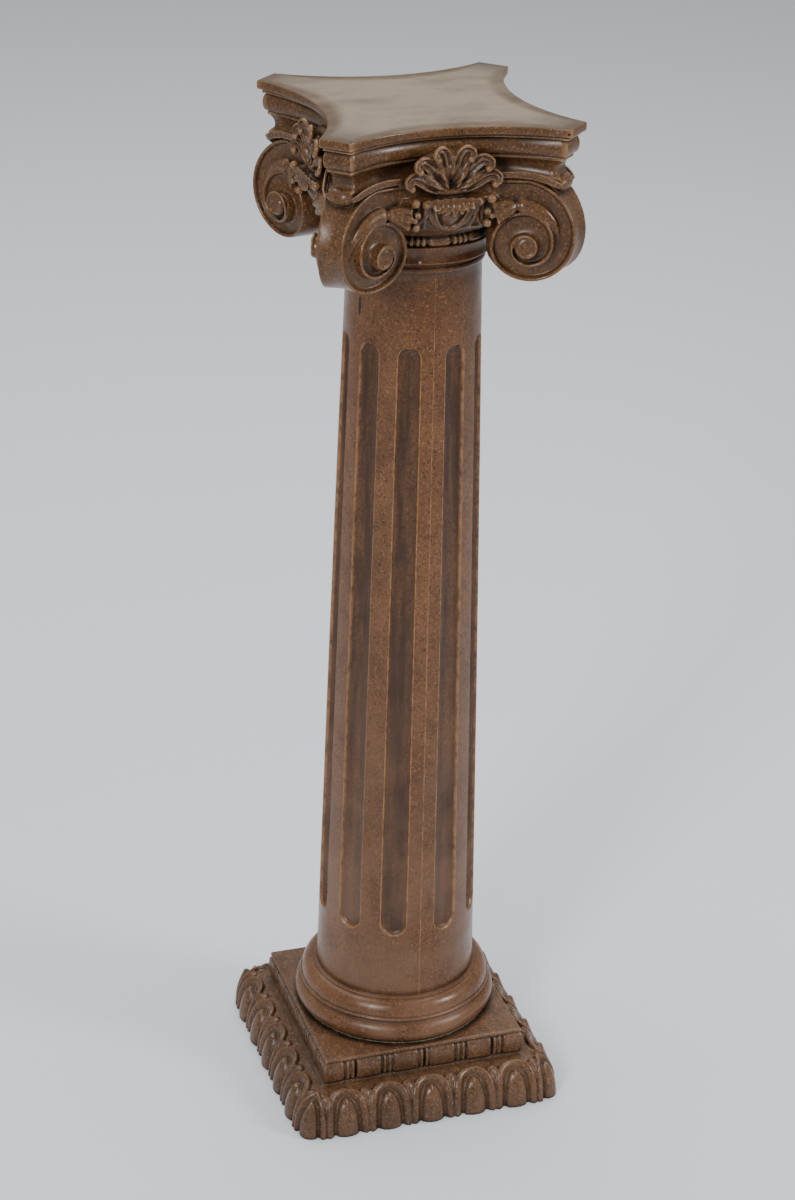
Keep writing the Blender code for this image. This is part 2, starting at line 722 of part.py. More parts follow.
def leaf_spray(tools):
    """Right half of the leaves that stand in the middle of each face, drawn as bent lobes."""
    made = []
    for k, path in enumerate(LOBE_PATHS):
        points = [(x, y, HEIGHT + rise) for x, y, rise in path]
        made.append(tube(points, LOBE_RADII, f"lobe_{k}", tools, sides=0))
    return made


def husk(tools):
    """A flower bud on its stalk, which lies over the inner turn of the volute."""
    points = [face_point(s, HEIGHT + rise, lift) for s, rise, lift in HUSK_PATH]
    return tube(points, HUSK_RADII, "husk", tools)


def berries(tools):
    made = []
    size = (BERRY_RADIUS,) * 3
    for k, (s, rise) in enumerate(BERRY_PLACES):
        place = face_point(s, HEIGHT + rise, BERRY_LIFT)
        made.append(ball(place, size, f"berry_{k}", tools, segments=5, rings=3))
    return made


def egg_arch(tools):
    """The frame round the egg in the middle of each face."""
    points = []
    for k in range(ARCH_POINTS):
        turn = math.pi * (k / (ARCH_POINTS - 1) - 0.5)
        x = ARCH_HALF_WIDTH * math.sin(turn)
        z = ECHINUS_TOP - ARCH_DROP * math.cos(turn)
        points.append((x, -ARCH_REACH - (z - ECHINUS_TOP) * ARCH_LEAN, z))
    return tube(points, (ARCH_THICKNESS,) * ARCH_POINTS, "arch", tools, sides=0)


def knob(tools):
    """The curl under each corner of the abacus, across the diagonal, and the stem that carries it."""
    across = Vector((1.0, 1.0, 0.0)).normalized()
    out = Vector((1.0, -1.0, 0.0)).normalized()
    level = Vector((0.0, 0.0, HEIGHT - KNOB_DROP))
    middle = out * KNOB_REACH + level
    ends = [middle - across * KNOB_HALF_WIDTH, middle, middle + across * KNOB_HALF_WIDTH]
    curl = tube(ends, (KNOB_RADIUS,) * 3, "knob", tools, sides=2)
    stem = tube([out * KNOB_STEM_START + level, middle], (KNOB_STEM_RADIUS,) * 2, "knob_stem", tools, sides=0)
    return [curl, stem]


def build_capital(collection, tools, paint):
    neck = BEAD_RADIUS - BEAD_BULGE
    bead_third = BEAD_ROW_HEIGHT / 3
    crown = ABACUS_FOOT_Z - CORE_BURIED
    profile = [(0.0, crown), (ECHINUS_RADIUS - CORE_CROWN_INSET, crown)]
    profile += [(ECHINUS_RADIUS - inset, ECHINUS_TOP - drop) for inset, drop in ECHINUS_CURVE]
    profile += [
        (neck, BEAD_ROW_TOP),
        (BEAD_RADIUS, BEAD_ROW_TOP - bead_third),
        (BEAD_RADIUS, CAPITAL_FOOT + bead_third),
        (neck, CAPITAL_FOOT),
        (0.0, CAPITAL_FOOT),
    ]
    body = turned(profile, CORE_STEPS, "capital", collection)
    body.rotation_euler.z = math.pi / CORE_STEPS
    pieces = [build_abacus(tools), build_faces(tools)]
    for lobe in leaf_spray(tools) + [husk(tools)] + berries(tools):
        for side in mirrored(lobe, tools):
            pieces += turned_copies(side, tools)
    egg_place = (0.0, -EGG_REACH, ECHINUS_TOP - EGG_HEIGHT / 2)
    egg_scale = (EGG_WIDTH / 2, EGG_WIDTH / 2, EGG_HEIGHT / 2)
    heart_place = (0.0, -LEAF_HEART_REACH, HEIGHT - LEAF_HEART_DROP)
    middles = [
        ball(egg_place, egg_scale, "egg", tools, segments=6, rings=4),
        egg_arch(tools),
        ball(heart_place, LEAF_HEART_SIZE, "leaf_heart", tools, segments=6, rings=4),
    ]
    for piece in middles + knob(tools):
        pieces += turned_copies(piece, tools)
    add_boolean(body, pieces, "UNION", "capital_body", tools)
    finish(body, paint, CAPITAL_KEPT_SHARE)
    return body


def main():
    clear_scene()
    column = new_collection("resin_column")
    tools = new_collection("ornament_and_cutters", hidden=True)
    build_plinth(column, tools, material("plinth_resin", (0.23, 0.14, 0.09), 0.40))
    build_shaft(column, tools, material("shaft_resin", (0.19, 0.10, 0.06), 0.36))
    build_capital(column, tools, material("capital_resin", (0.18, 0.09, 0.05), 0.38))


main()
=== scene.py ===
"""Looks of the resin pedestal column: fine carved meshes, their finish, the floor and the lights.

Metres, +Z up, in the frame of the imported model. -Y is the front, on which one mould seam runs.
"""

import math

import bmesh
import bpy
from mathutils import Matrix, Vector, noise


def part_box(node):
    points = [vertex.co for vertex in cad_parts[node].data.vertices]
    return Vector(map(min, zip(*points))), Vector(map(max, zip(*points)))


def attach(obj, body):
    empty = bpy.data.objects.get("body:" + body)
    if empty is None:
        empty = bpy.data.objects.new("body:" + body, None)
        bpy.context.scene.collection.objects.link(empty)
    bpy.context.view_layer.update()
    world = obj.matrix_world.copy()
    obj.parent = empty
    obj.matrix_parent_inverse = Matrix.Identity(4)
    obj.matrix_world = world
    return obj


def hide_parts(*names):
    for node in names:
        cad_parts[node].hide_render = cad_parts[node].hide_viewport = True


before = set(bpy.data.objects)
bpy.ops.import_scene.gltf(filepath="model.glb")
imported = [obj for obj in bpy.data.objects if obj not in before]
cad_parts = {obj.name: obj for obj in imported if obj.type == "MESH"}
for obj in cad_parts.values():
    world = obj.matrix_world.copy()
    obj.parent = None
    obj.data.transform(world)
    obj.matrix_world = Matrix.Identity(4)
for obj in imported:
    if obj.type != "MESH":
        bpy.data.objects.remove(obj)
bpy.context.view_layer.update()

# Camera: the photograph's place, direction and lens
CAMERA_AZIMUTH = math.radians(-18.644)
CAMERA_ELEVATION = math.radians(25.581)
CAMERA_ROLL = math.radians(1.616)
CAMERA_DISTANCE = 2.5556
CAMERA_AIM_Z = 0.5
LENS = 79.65
SENSOR = 36.0
SHIFT_X = -0.0054
SHIFT_Y = 0.0099

# Levels of the three castings, read from the frame, and the foot of the capital's bead row
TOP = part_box("capital")[1][2]
CAPITAL_FOOT = 0.8871
SLAB_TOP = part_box("plinth")[1][2]
SHAFT_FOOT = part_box("shaft")[0][2]
SHAFT_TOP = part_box("shaft")[1][2]

# Plinth
SLAB_HALF = 0.1032
STRIP_LOW = 0.04
STRIP_HIGH = 0.063
STRIP_RECESS = 0.003
LEDGE_HALF = 0.115
LEDGE_Z = 0.038
LEDGE_CORNER = 0.004
OVOLO_REACH = 0.019
EGGS_PER_SIDE = 5
REEL_PITCH = 0.0387
REEL_PAIRS = 5
REEL_WIDTH = 0.0036
REEL_GAP = 0.0018
REEL_RELIEF = 0.005

# Shaft
TORUS_RADIUS = 0.1015
TORUS_HEIGHT = 0.0235
LIP_RADIUS = 0.0965
FOOT_MOULD_TOP = 0.1125
SHAFT_FOOT_RADIUS = 0.0795
SHAFT_NECK_RADIUS = 0.0616
SHAFT_BELLY = 0.0008
NECK_RING_Z = 0.8603
NECK_RING_RADIUS = 0.0648
NECK_RING_HEIGHT = 0.0064
NECK_BAND_RADIUS = 0.0695
NECK_BAND_LOW = 0.871
FLUTE_HALF_ANGLE = math.radians(9.5)
FLUTE_STEP = math.radians(35.0)
FLUTES_PER_HALF = 5
FLUTE_DEPTH = 0.005
FLUTE_LOW = 0.1823
FLUTE_HIGH = 0.7909

# Capital
ABACUS_REACH = 0.1205
ABACUS_CUT = 0.0212
ABACUS_HOLLOW = 0.029
HORN_INSET = 0.7
HORN_NARROWING = 0.25
ABACUS_SLAB = 0.008
ABACUS_FOOT_Z = 0.953
BEAD_RADIUS = 0.0715
BEAD_ROW_TOP = 0.8985
BEAD_GROUPS = 11
ECHINUS_RADIUS = 0.1
ECHINUS_TOP = 0.94
EYE_S = 0.0693
EYE_Z = 0.894
EYE_RADIUS = 0.0108
EYE_RISE = 0.0122
VOLUTE_RADII = (0.0585, 0.0415, 0.033, 0.0315, 0.0305, 0.024, 0.018, 0.0145, EYE_RADIUS)
FACE_RECESS = 0.0015
RIM_WIDTH = 0.0036
CANAL_DEPTH = 0.0048
INNER_RISE = 0.006
CANAL_BACK = 0.045
HORN_CLEARANCE = 0.0735
VOXEL_CAPITAL = 0.00085
VOXEL_PLINTH = 0.001
MOST_TRIANGLES = 190000

ABACUS_SIDE = ABACUS_REACH - ABACUS_CUT
ABACUS_MID = ABACUS_REACH - ABACUS_HOLLOW
ARC_RADIUS = (ABACUS_SIDE**2 + ABACUS_HOLLOW**2) / (2 * ABACUS_HOLLOW)
ARC_CENTRE = ABACUS_MID + ARC_RADIUS

# Smaller measures of the carving, and shared directions
STRIP_FACE = SLAB_HALF - STRIP_RECESS
STRIP_MIDDLE = (STRIP_LOW + STRIP_HIGH) / 2
STRIP_HALF = (STRIP_HIGH - STRIP_LOW) / 2 - 0.0008
BAR_CROWN = 0.35
BAR_STEPS = 12
SEAMS = (math.pi / 2, -math.pi / 2)
SEAM_COLUMNS = (-4.5, -2.2, -1.1, -0.7, -0.35, 0.0, 0.35, 0.7, 1.1, 2.2, 4.5)
SEAM_HEIGHT = 0.00045
SEAM_FAINT_HEIGHT = 0.00018
SEAM_HALF_ANGLE = math.radians(0.75)
FLUTE_END = 0.018
ROW_STEP = 0.006
GLUE_RADIUS = 0.0946
GLUE_THICKNESS = 0.0013
GLUE_SIDES = 8
EGG_BOTTOM = 0.9105
KNOB_DISTANCE = 0.1418
KNOB_Z = 0.9484
KNOB_HALF_LENGTH = 0.0125
KNOB_RADIUS = 0.0076
WELD_DISTANCE = 0.00005
FLOOR_HALF = 30.0
BUMP_DEPTH = 0.0006
FULL_TURN = 2 * math.pi
FRONT = (0.0, -1.0, 0.0)
UP = (0.0, 0.0, 1.0)


# Mesh helpers


class Shape:
    """A growing heap of closed shells, each a list of corners and faces."""

    def __init__(self):
        self.corners = []
        self.faces = []

    def add(self, corners, faces, places=(Matrix.Identity(4),)):
        """Adds a shell once for each place, and turns it inside out where the place mirrors it."""
        for place in places:
            start = len(self.corners)
            flip = place.determinant() < 0
            self.corners += [place @ Vector(c) for c in corners]
            for face in faces:
                moved = [start + i for i in face]
                self.faces.append(moved[::-1] if flip else moved)

    def mesh(self, name):
        mesh = bpy.data.meshes.new(name)
        mesh.from_pydata([tuple(c) for c in self.corners], [], self.faces)
        mesh.update()
        return mesh


def circle(count):
    """Evenly spaced angles round a full turn."""
    return [FULL_TURN * i / count for i in range(count)]


def polar(radius, angle, z):
    return Vector((radius * math.cos(angle), radius * math.sin(angle), z))


def clamped(value):
    return min(max(value, 0.0), 1.0)


def quads(rows, row, closed=True):
    """Faces between rows of equally many corners; the last corner of a closed row joins its first."""
    faces = []
    for k in range(rows - 1):
        for i in range(row if closed else row - 1):
            j = (i + 1) % row
            faces.append([k * row + i, k * row + j, (k + 1) * row + j, (k + 1) * row + i])
    return faces


def grid(rings):
    """Corners and faces of a closed tube through equal rings, with a fan on each end."""
    count = len(rings[0])
    corners = [p for ring in rings for p in ring]
    faces = quads(len(rings), count)
    for ring, start, turned in ((rings[0], 0, True), (rings[-1], (len(rings) - 1) * count, False)):
        middle = len(corners)
        corners.append(sum((Vector(p) for p in ring), Vector()) / count)
        for i in range(count):
            pair = [start + i, start + (i + 1) % count]
            faces.append([*(pair[::-1] if turned else pair), middle])
    return corners, faces


def smooth_path(points, steps):
    """Points on a Catmull-Rom curve through the given ones."""
    points = [Vector(p) for p in points]
    padded = [points[0] * 2 - points[1], *points, points[-1] * 2 - points[-2]]
    path = []
    for k in range(len(points) - 1):
        a, b, c, d = padded[k:k + 4]
        for step in range(steps):
            t = step / steps
            bend, twist = 2 * a - 5 * b + 4 * c - d, 3 * b - a - 3 * c + d
            path.append(0.5 * (2 * b + (c - a) * t + bend * t**2 + twist * t**3))
    path.append(points[-1])
    return path


def blend_list(values, t):
    """Value at t, from 0 to 1, of evenly spaced values joined smoothly."""
    place = clamped(t) * (len(values) - 1)
    k = min(int(place), len(values) - 2)
    part = place - k
    part = part * part * (3 - 2 * part)
    return values[k] + (values[k + 1] - values[k]) * part


def sweep(path, out, section, around=20):
    """A closed form along the path; section(t, angle) gives the offsets across it and outwards."""
    rings = []
    normal = Vector(out)
    last = len(path) - 1
    for k, point in enumerate(path):
        tangent = (path[min(k + 1, last)] - path[max(k - 1, 0)]).normalized()
        normal = (normal - tangent * normal.dot(tangent)).normalized()
        across = tangent.cross(normal)
        offsets = [section(k / last, angle) for angle in circle(around)]
        rings.append([point + across * u + normal * v for u, v in offsets])
    return grid(rings)


def rod(points, steps, section, around=20, out=FRONT):
    """A form swept along a smooth path through the points."""
    return sweep(smooth_path(points, steps), out, section, around)


def round_section(radii, flat=1.0):
    """A round rod whose radius follows the list, flattened outwards by flat."""

    def section(t, angle):
        radius = blend_list(radii, t)
        return radius * math.cos(angle), radius * math.sin(angle) * flat

    return section


def ellipsoid(centre, size, turn=Matrix.Identity(3), around=20, rows=12):
    rings = []
    for k in range(1, rows):
        lean = math.pi * k / rows
        ring = []
        for angle in circle(around):
            x = size[0] * math.sin(lean) * math.cos(angle)
            y = size[1] * math.sin(lean) * math.sin(angle)
            ring.append(Vector(centre) + turn @ Vector((x, y, -size[2] * math.cos(lean))))
        rings.append(ring)
    return grid(rings)


def turned(profile, steps=120):
    """A turned form from (radius, height) pairs, from the bottom up."""
    return grid([[polar(radius, angle, z) for angle in circle(steps)] for radius, z in profile])


def arc(centre_r, centre_z, radius, start, end, steps, squash=1.0):
    """Profile points on an arc, from one angle in degrees to another."""
    found = []
    for k in range(steps + 1):
        angle = math.radians(start + (end - start) * k / steps)
        found.append((centre_r + radius * math.cos(angle), centre_z + radius * squash * math.sin(angle)))
    return found


def turns(count, mirror=False):
    """Places evenly turned about the column's axis, with their mirror images if asked."""
    places = []
    for k in range(count):
        spin = Matrix.Rotation(FULL_TURN * k / count, 4, "Z")
        places.append(spin)
        if mirror:
            places.append(spin @ Matrix.Diagonal((-1.0, 1.0, 1.0, 1.0)))
    return places


# Places of what stands once on each side, and of what stands on both halves of each side
SIDES = turns(4)
HALF_SIDES = turns(4, mirror=True)


def fused(shape, name, voxel):
    """One clean skin round all the shells of a shape, as a mesh thinned to at most about MOST_TRIANGLES
    triangles.
    """
    holder = bpy.data.objects.new(name, shape.mesh(name + "_shells"))
    bpy.context.scene.collection.objects.link(holder)
    remesh = holder.modifiers.new("skin", "REMESH")
    remesh.mode = "VOXEL"
    remesh.voxel_size = voxel
    soften = holder.modifiers.new("soften", "SMOOTH")
    soften.factor = 0.5
    soften.iterations = 2
    graph = bpy.context.evaluated_depsgraph_get()
    dense = sum(len(p.vertices) - 2 for p in holder.evaluated_get(graph).data.polygons)
    thin = holder.modifiers.new("thin", "DECIMATE")
    thin.ratio = min(1.0, MOST_TRIANGLES / dense)
    graph = bpy.context.evaluated_depsgraph_get()
    mesh = bpy.data.meshes.new_from_object(holder.evaluated_get(graph))
    bpy.data.objects.remove(holder)
    return mesh


def with_crisp(mesh, shell, inner):
    """The fused skin together with a crisp shell, and a mask that is 0 only on the shell's last corners."""
    crisp = Shape()
    crisp.add(*shell)
    bm = bmesh.new()
    bm.from_mesh(mesh)
    bm.from_mesh(crisp.mesh("crisp"))
    bm.to_mesh(mesh)
    bm.free()
    mask = mesh.attributes.new("margin", "FLOAT", "POINT")
    count = len(mesh.vertices)
    mask.data.foreach_set("value", [1.0] * (count - inner - 2) + [0.0] * inner + [1.0, 0.0])
    return mesh


def piece(mesh, name, node, paint):
    """Puts a finished mesh in the scene, in place of the node if one is named."""
    mesh.name = name
    made = bpy.data.objects.new(name, mesh)
    bpy.context.scene.collection.objects.link(made)
    mesh.shade_smooth()
    mesh.materials.clear()
    mesh.materials.append(paint)
    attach(made, "root")
    if node:
        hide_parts(node)
    return made


# Plinth


def ovolo(share):
    """Reach and height of the plinth's rounded edge, from the ledge (0) to the foot (1)."""
    turn = share * math.pi / 2
    return OVOLO_REACH * math.sin(turn), LEDGE_Z * math.cos(turn)


def rounded_square(half, radius, z, corner_steps=10):
    loop = []
    for corner in range(4):
        middle = Matrix.Rotation(corner * math.pi / 2, 3, "Z") @ Vector((-1.0, -1.0, 0.0)) * (half - radius)
        for step in range(corner_steps + 1):
            turn = math.pi + (corner + step / corner_steps) * math.pi / 2
            loop.append(Vector((middle.x + radius * math.cos(turn), middle.y + radius * math.sin(turn), z)))
    return loop


def edge_point(u, share, lift):
    """A point on the rounded edge: u is 0 at the front's middle, 1 at its end, and 2 round the corner."""
    reach, z = ovolo(share)
    turn = share * math.pi / 2
    straight = LEDGE_HALF - LEDGE_CORNER
    radius = LEDGE_CORNER + reach + lift * math.sin(turn)
    z = max(z + lift * math.cos(turn), 0.0)
    if u <= 1.0:
        return Vector((u * straight, -straight - radius, z))
    bend = (u - 1.0) * math.pi / 2
    return Vector((straight + radius * math.sin(bend), -straight - radius * math.cos(bend), z))


# Width, crown and lift of each line of an egg and its frame, from the outside in
EGG_RINGS = (
    (1.0, 0.005, -0.006), (1.0, 0.005, 0.0006), (0.985, 0.012, 0.003), (0.955, 0.03, 0.0043),
    (0.9, 0.06, 0.005), (0.82, 0.105, 0.005), (0.73, 0.155, 0.0042), (0.655, 0.2, 0.0024),
    (0.6, 0.235, 0.0006), (0.555, 0.265, 0.0004), (0.51, 0.295, 0.0018), (0.46, 0.32, 0.0034),
    (0.4, 0.35, 0.0046), (0.3, 0.38, 0.0055), (0.19, 0.41, 0.0061), (0.09, 0.44, 0.0065),
    (0.0, 0.47, 0.0067),
)


def egg_motif(u_middle, u_half, steps=26):
    """An egg in its arched frame on the rounded edge, with a faint ridge at the top of the egg."""
    corners = []
    for width, crown, lift in EGG_RINGS:
        pointed = 0.85 if width < 0.56 else 0.6
        for step in range(steps + 1):
            turn = math.pi * step / steps
            across = -math.cos(turn) * width
            share = 1.0 - (1.0 - crown) * max(math.sin(turn), 0.0) ** pointed
            ridge = 0.0
            if width < 0.6:
                ridge = 0.0016 * math.exp(-((across / 0.07) ** 2) - ((share - 0.4) / 0.12) ** 2)
            corners.append(edge_point(u_middle + across * u_half * 0.995, share, lift + ridge))
    row = steps + 1
    last = len(EGG_RINGS) - 1
    faces = quads(last + 1, row, closed=False)
    faces.append([k * row for k in range(last + 1)] + [k * row + steps for k in range(last, -1, -1)])
    faces.append(list(range(steps, -1, -1)))
    return corners, faces


def dart_motif(u_middle):
    """The small leaf between two frames: wide at the top, with a rib and pointed below."""
    rings = []
    for size, lift in ((1.0, -0.004), (1.0, 0.0012), (0.8, 0.0026), (0.45, 0.003), (0.12, 0.004)):
        ring = []
        for turn in circle(16):
            wide = 0.068 * math.sin(turn) * (0.75 + 0.25 * math.cos(turn))
            share = 0.26 - 0.24 * math.cos(turn) * (1.0 if math.cos(turn) > 0 else 1.5)
            ring.append(edge_point(u_middle + wide * size, 0.24 + (share - 0.24) * size, lift))
        rings.append(ring)
    return grid(rings)


def bar_z(turn, size):
    """Height on the rounded face of a bar, nearer to its middle where the bar is drawn in."""
    return STRIP_MIDDLE + STRIP_HALF * math.sin(turn) * (0.7 + 0.3 * size)


def bar_turns():
    return [math.pi * (k / BAR_STEPS - 0.5) for k in range(BAR_STEPS + 1)]


def strip_bar(start, end):
    """A barrel or a reel: a bar across the slab's edge with a rounded face and soft ends."""
    length = end - start
    soft = min(length * 0.45, 0.0022)
    ends = [(0.0, 0.55), (soft * 0.3, 0.85), (soft, 1.0)]
    rings = []
    for along, size in ends + [(length - x, size) for x, size in reversed(ends)]:
        ring = []
        for turn in bar_turns():
            out = math.cos(turn) ** BAR_CROWN
            ring.append(Vector((start + along, -STRIP_FACE - REEL_RELIEF * out * size, bar_z(turn, size))))
        for z in (STRIP_MIDDLE + STRIP_HALF, STRIP_MIDDLE - STRIP_HALF):
            ring.append(Vector((start + along, -STRIP_FACE + 0.004, z)))
        rings.append(ring)
    return grid(rings)


def corner_bar(start):
    """The barrel that turns the slab's corner."""
    path = [(start, 0.55), (start + 0.0007, 0.85), (start + 0.0022, 1.0), (STRIP_FACE - 0.001, 1.0)]
    rings = []
    for x, size in path + [(None, 1.0)] + path[::-1]:
        mirrored = len(rings) > len(path)
        section = [(REEL_RELIEF * math.cos(t) ** BAR_CROWN * size, bar_z(t, size)) for t in bar_turns()]
        section += [(-0.004, STRIP_MIDDLE + STRIP_HALF), (-0.004, STRIP_MIDDLE - STRIP_HALF)]
        ring = []
        for out, z in section:
            if x is None:
                ring.append(Vector((STRIP_FACE + out * 0.9, -STRIP_FACE - out * 0.9, z)))
            elif mirrored:
                ring.append(Vector((STRIP_FACE + out, -x, z)))
            else:
                ring.append(Vector((x, -STRIP_FACE - out, z)))
        rings.append(ring)
    return grid(rings)


def glue_line():
    """A thin uneven bead of glue where the torus stands on the slab."""
    rings = []
    count = 240
    for turn in circle(count):
        wobble = noise.noise(Vector((math.cos(turn), math.sin(turn), 0.3)) * 22.0)
        radius = GLUE_RADIUS + 0.0006 * wobble
        thick = GLUE_THICKNESS + 0.001 * noise.noise(Vector((math.cos(turn), math.sin(turn), 1.7)) * 45.0)
        ring = []
        for angle in circle(GLUE_SIDES):
            z = SLAB_TOP + thick * 0.35 * math.sin(angle)
            ring.append(polar(radius + thick * math.cos(angle), turn, z))
        rings.append(ring)
    corners = [p for ring in rings for p in ring]
    faces = [[i % len(corners) for i in face] for face in quads(count + 1, GLUE_SIDES)]
    return corners, faces


def plinth_mesh():
    shape = Shape()
    loops = [rounded_square(LEDGE_HALF + OVOLO_REACH, LEDGE_CORNER + OVOLO_REACH, 0.0)]
    for k in range(1, 13):
        reach, z = ovolo(1.0 - k / 12)
        loops.append(rounded_square(LEDGE_HALF + reach, LEDGE_CORNER + reach, z))
    levels = (
        (STRIP_FACE + 0.005, LEDGE_Z + 0.0006), (STRIP_FACE + 0.0012, STRIP_LOW),
        (STRIP_FACE, STRIP_LOW + 0.001), (STRIP_FACE, STRIP_HIGH - 0.0006),
        (SLAB_HALF - 0.0014, STRIP_HIGH + 0.0002), (SLAB_HALF, STRIP_HIGH + 0.0014),
        (SLAB_HALF, SLAB_TOP - 0.0014), (SLAB_HALF - 0.0005, SLAB_TOP - 0.0004),
        (SLAB_HALF - 0.0016, SLAB_TOP),
    )
    for half, z in levels:
        loops.append(rounded_square(half, 0.0015, z))
    shape.add(*grid(loops))
    half = 1.0 / EGGS_PER_SIDE
    for k in range(EGGS_PER_SIDE // 2 + 1):
        shape.add(*egg_motif(2 * k * half, half), HALF_SIDES if k else SIDES)
    shape.add(*egg_motif(1.5, 0.5), SIDES)
    for k in range(EGGS_PER_SIDE // 2 + 1):
        shape.add(*dart_motif((2 * k + 1) * half), HALF_SIDES)
    pair_half = REEL_WIDTH + REEL_GAP / 2
    for k in range(REEL_PAIRS // 2 + 1):
        x = k * REEL_PITCH
        for start in (x - pair_half, x + REEL_GAP / 2):
            shape.add(*strip_bar(start, start + REEL_WIDTH), HALF_SIDES if k else SIDES)
    for k in range(REEL_PAIRS // 2):
        start = k * REEL_PITCH + pair_half + REEL_GAP
        end = (k + 1) * REEL_PITCH - pair_half - REEL_GAP
        shape.add(*strip_bar(start, end), HALF_SIDES)
    last = (REEL_PAIRS // 2) * REEL_PITCH + pair_half + REEL_GAP
    shape.add(*corner_bar(last), SIDES)
    return fused(shape, "plinth", VOXEL_PLINTH)


# Shaft


def shaft_radius(z):
    share = (z - FOOT_MOULD_TOP) / (NECK_RING_Z - FOOT_MOULD_TOP)
    straight = SHAFT_FOOT_RADIUS + (SHAFT_NECK_RADIUS - SHAFT_FOOT_RADIUS) * share
    return straight + SHAFT_BELLY * 4 * share * (1 - share)


def shaft_profile():
    """Radius and height of the turned form, from the foot to the top, with rows close where it bends."""
    half = TORUS_HEIGHT / 2
    core = TORUS_RADIUS - half
    groove = SHAFT_FOOT + TORUS_HEIGHT
    rows = [(core, SHAFT_FOOT)]
    rows += arc(core, SHAFT_FOOT + half, half, -84, 66, 20)
    rows += [(LIP_RADIUS - 0.0022, groove + 0.0006), (LIP_RADIUS - 0.0012, groove + 0.0012)]
    rows += arc(LIP_RADIUS - 0.0016, groove + 0.003, 0.0016, -60, 70, 6)
    rows += [(LIP_RADIUS - 0.0022, groove + 0.0052)]
    rows += arc(SHAFT_FOOT_RADIUS + 0.0035, groove + 0.0052, 0.012, 2, 88, 14, squash=1.25)
    for out, drop in ((0.0032, 0.0012), (0.0026, 0.0003), (0.0012, 0.0002), (-0.0008, 0.0)):
        rows.append((SHAFT_FOOT_RADIUS + out, FOOT_MOULD_TOP - drop))
    z = FOOT_MOULD_TOP + 0.0008
    while z < FLUTE_LOW - 0.004:
        rows.append((shaft_radius(z), z))
        z += ROW_STEP
    for k in range(31):
        z = FLUTE_LOW - 0.002 + (FLUTE_END + 0.002) * k / 30
        rows.append((shaft_radius(z), z))
    count = 40
    for k in range(1, count):
        z = FLUTE_LOW + FLUTE_END + (FLUTE_HIGH - FLUTE_LOW - 2 * FLUTE_END) * k / count
        rows.append((shaft_radius(z), z))
    for k in range(31):
        z = FLUTE_HIGH - FLUTE_END + (FLUTE_END + 0.002) * k / 30
        rows.append((shaft_radius(z), z))
    z = FLUTE_HIGH + 0.008
    while z < NECK_RING_Z - 0.004:
        rows.append((shaft_radius(z), z))
        z += ROW_STEP
    ring = NECK_RING_HEIGHT / 2
    neck = shaft_radius(NECK_RING_Z)
    rows += [(neck, NECK_RING_Z - 0.0012), (neck + 0.0007, NECK_RING_Z)]
    rows += arc(NECK_RING_RADIUS - ring, NECK_RING_Z + ring, ring, -62, 66, 10)
    rows += [(NECK_RING_RADIUS - 0.001, NECK_RING_Z + NECK_RING_HEIGHT + 0.0008)]
    rows += [(NECK_RING_RADIUS + 0.0006, NECK_BAND_LOW - 0.0012)]
    rows += arc(NECK_BAND_RADIUS - 0.0012, NECK_BAND_LOW + 0.0008, 0.0012, -70, 60, 5)
    for drawn_in, z in (
        (0.0019, NECK_BAND_LOW + 0.003), (0.0025, NECK_BAND_LOW + 0.0065),
        (0.002, SHAFT_TOP - 0.005), (0.0008, SHAFT_TOP - 0.0028),
    ):
        rows.append((NECK_BAND_RADIUS - drawn_in, z))
    rows += arc(NECK_BAND_RADIUS - 0.001, SHAFT_TOP - 0.0012, 0.0012, -30, 80, 5)
    return rows


def flute_centres():
    first = -FLUTE_STEP * (FLUTES_PER_HALF - 1) / 2
    found = []
    for side in (0.0, math.pi):
        found += [side + first + k * FLUTE_STEP for k in range(FLUTES_PER_HALF)]
    return found


def shaft_angles(centres):
    """Angles of the shaft's columns, close together at each flute's edges and at the seams."""
    angles = []
    for centre in centres:
        angles += [centre + FLUTE_HALF_ANGLE * math.sin(math.pi / 2 * k / 11) for k in range(-11, 12)]
        for k in (1.035, 1.09, 1.2, 1.45):
            angles += [centre + FLUTE_HALF_ANGLE * k, centre - FLUTE_HALF_ANGLE * k]
    for seam in SEAMS:
        angles += [seam + math.radians(apart) for apart in SEAM_COLUMNS]
    return sorted(a % FULL_TURN for a in angles)


def flute_cut(angle, z, centres):
    """Depth of the nearest flute here, how deep it is as a share, and how near its worn edge lies."""
    off = min(abs((angle - centre + math.pi) % FULL_TURN - math.pi) for centre in centres)
    radius = shaft_radius(z)
    half = radius * math.sin(FLUTE_HALF_ANGLE)
    across = radius * math.sin(min(off, 1.0)) / half
    low = (FLUTE_LOW + half - z) / half
    high = (z - FLUTE_HIGH + half) / half
    beyond = max(low, high, 0.0)
    reach = math.hypot(across, beyond)
    arris = math.exp(-((reach - 1.01) / 0.055) ** 2)
    if reach >= 1.0:
        ridge = max(0.0, 1.0 - (reach - 1.0) / 0.16)
        return -0.0003 * ridge * ridge, 0.0, arris
    share = min(1.0, (1.0 - reach * reach) ** 0.3 * 1.04)
    return FLUTE_DEPTH * 1.1 * share, share, arris


def seam_height(angle, z):
    """The raised line that the mould left on the front and on the back."""
    wobble = math.radians(0.35) * noise.noise(Vector((0.0, 0.0, z * 9.0)))
    off = min(abs((angle - seam + wobble + math.pi) % FULL_TURN - math.pi) for seam in SEAMS)
    height = SEAM_HEIGHT if FOOT_MOULD_TOP < z < NECK_RING_Z else SEAM_FAINT_HEIGHT
    height *= 0.75 + 0.5 * noise.noise(Vector((3.0, 0.0, z * 60.0)))
    return height * max(0.0, 1.0 - off / SEAM_HALF_ANGLE)


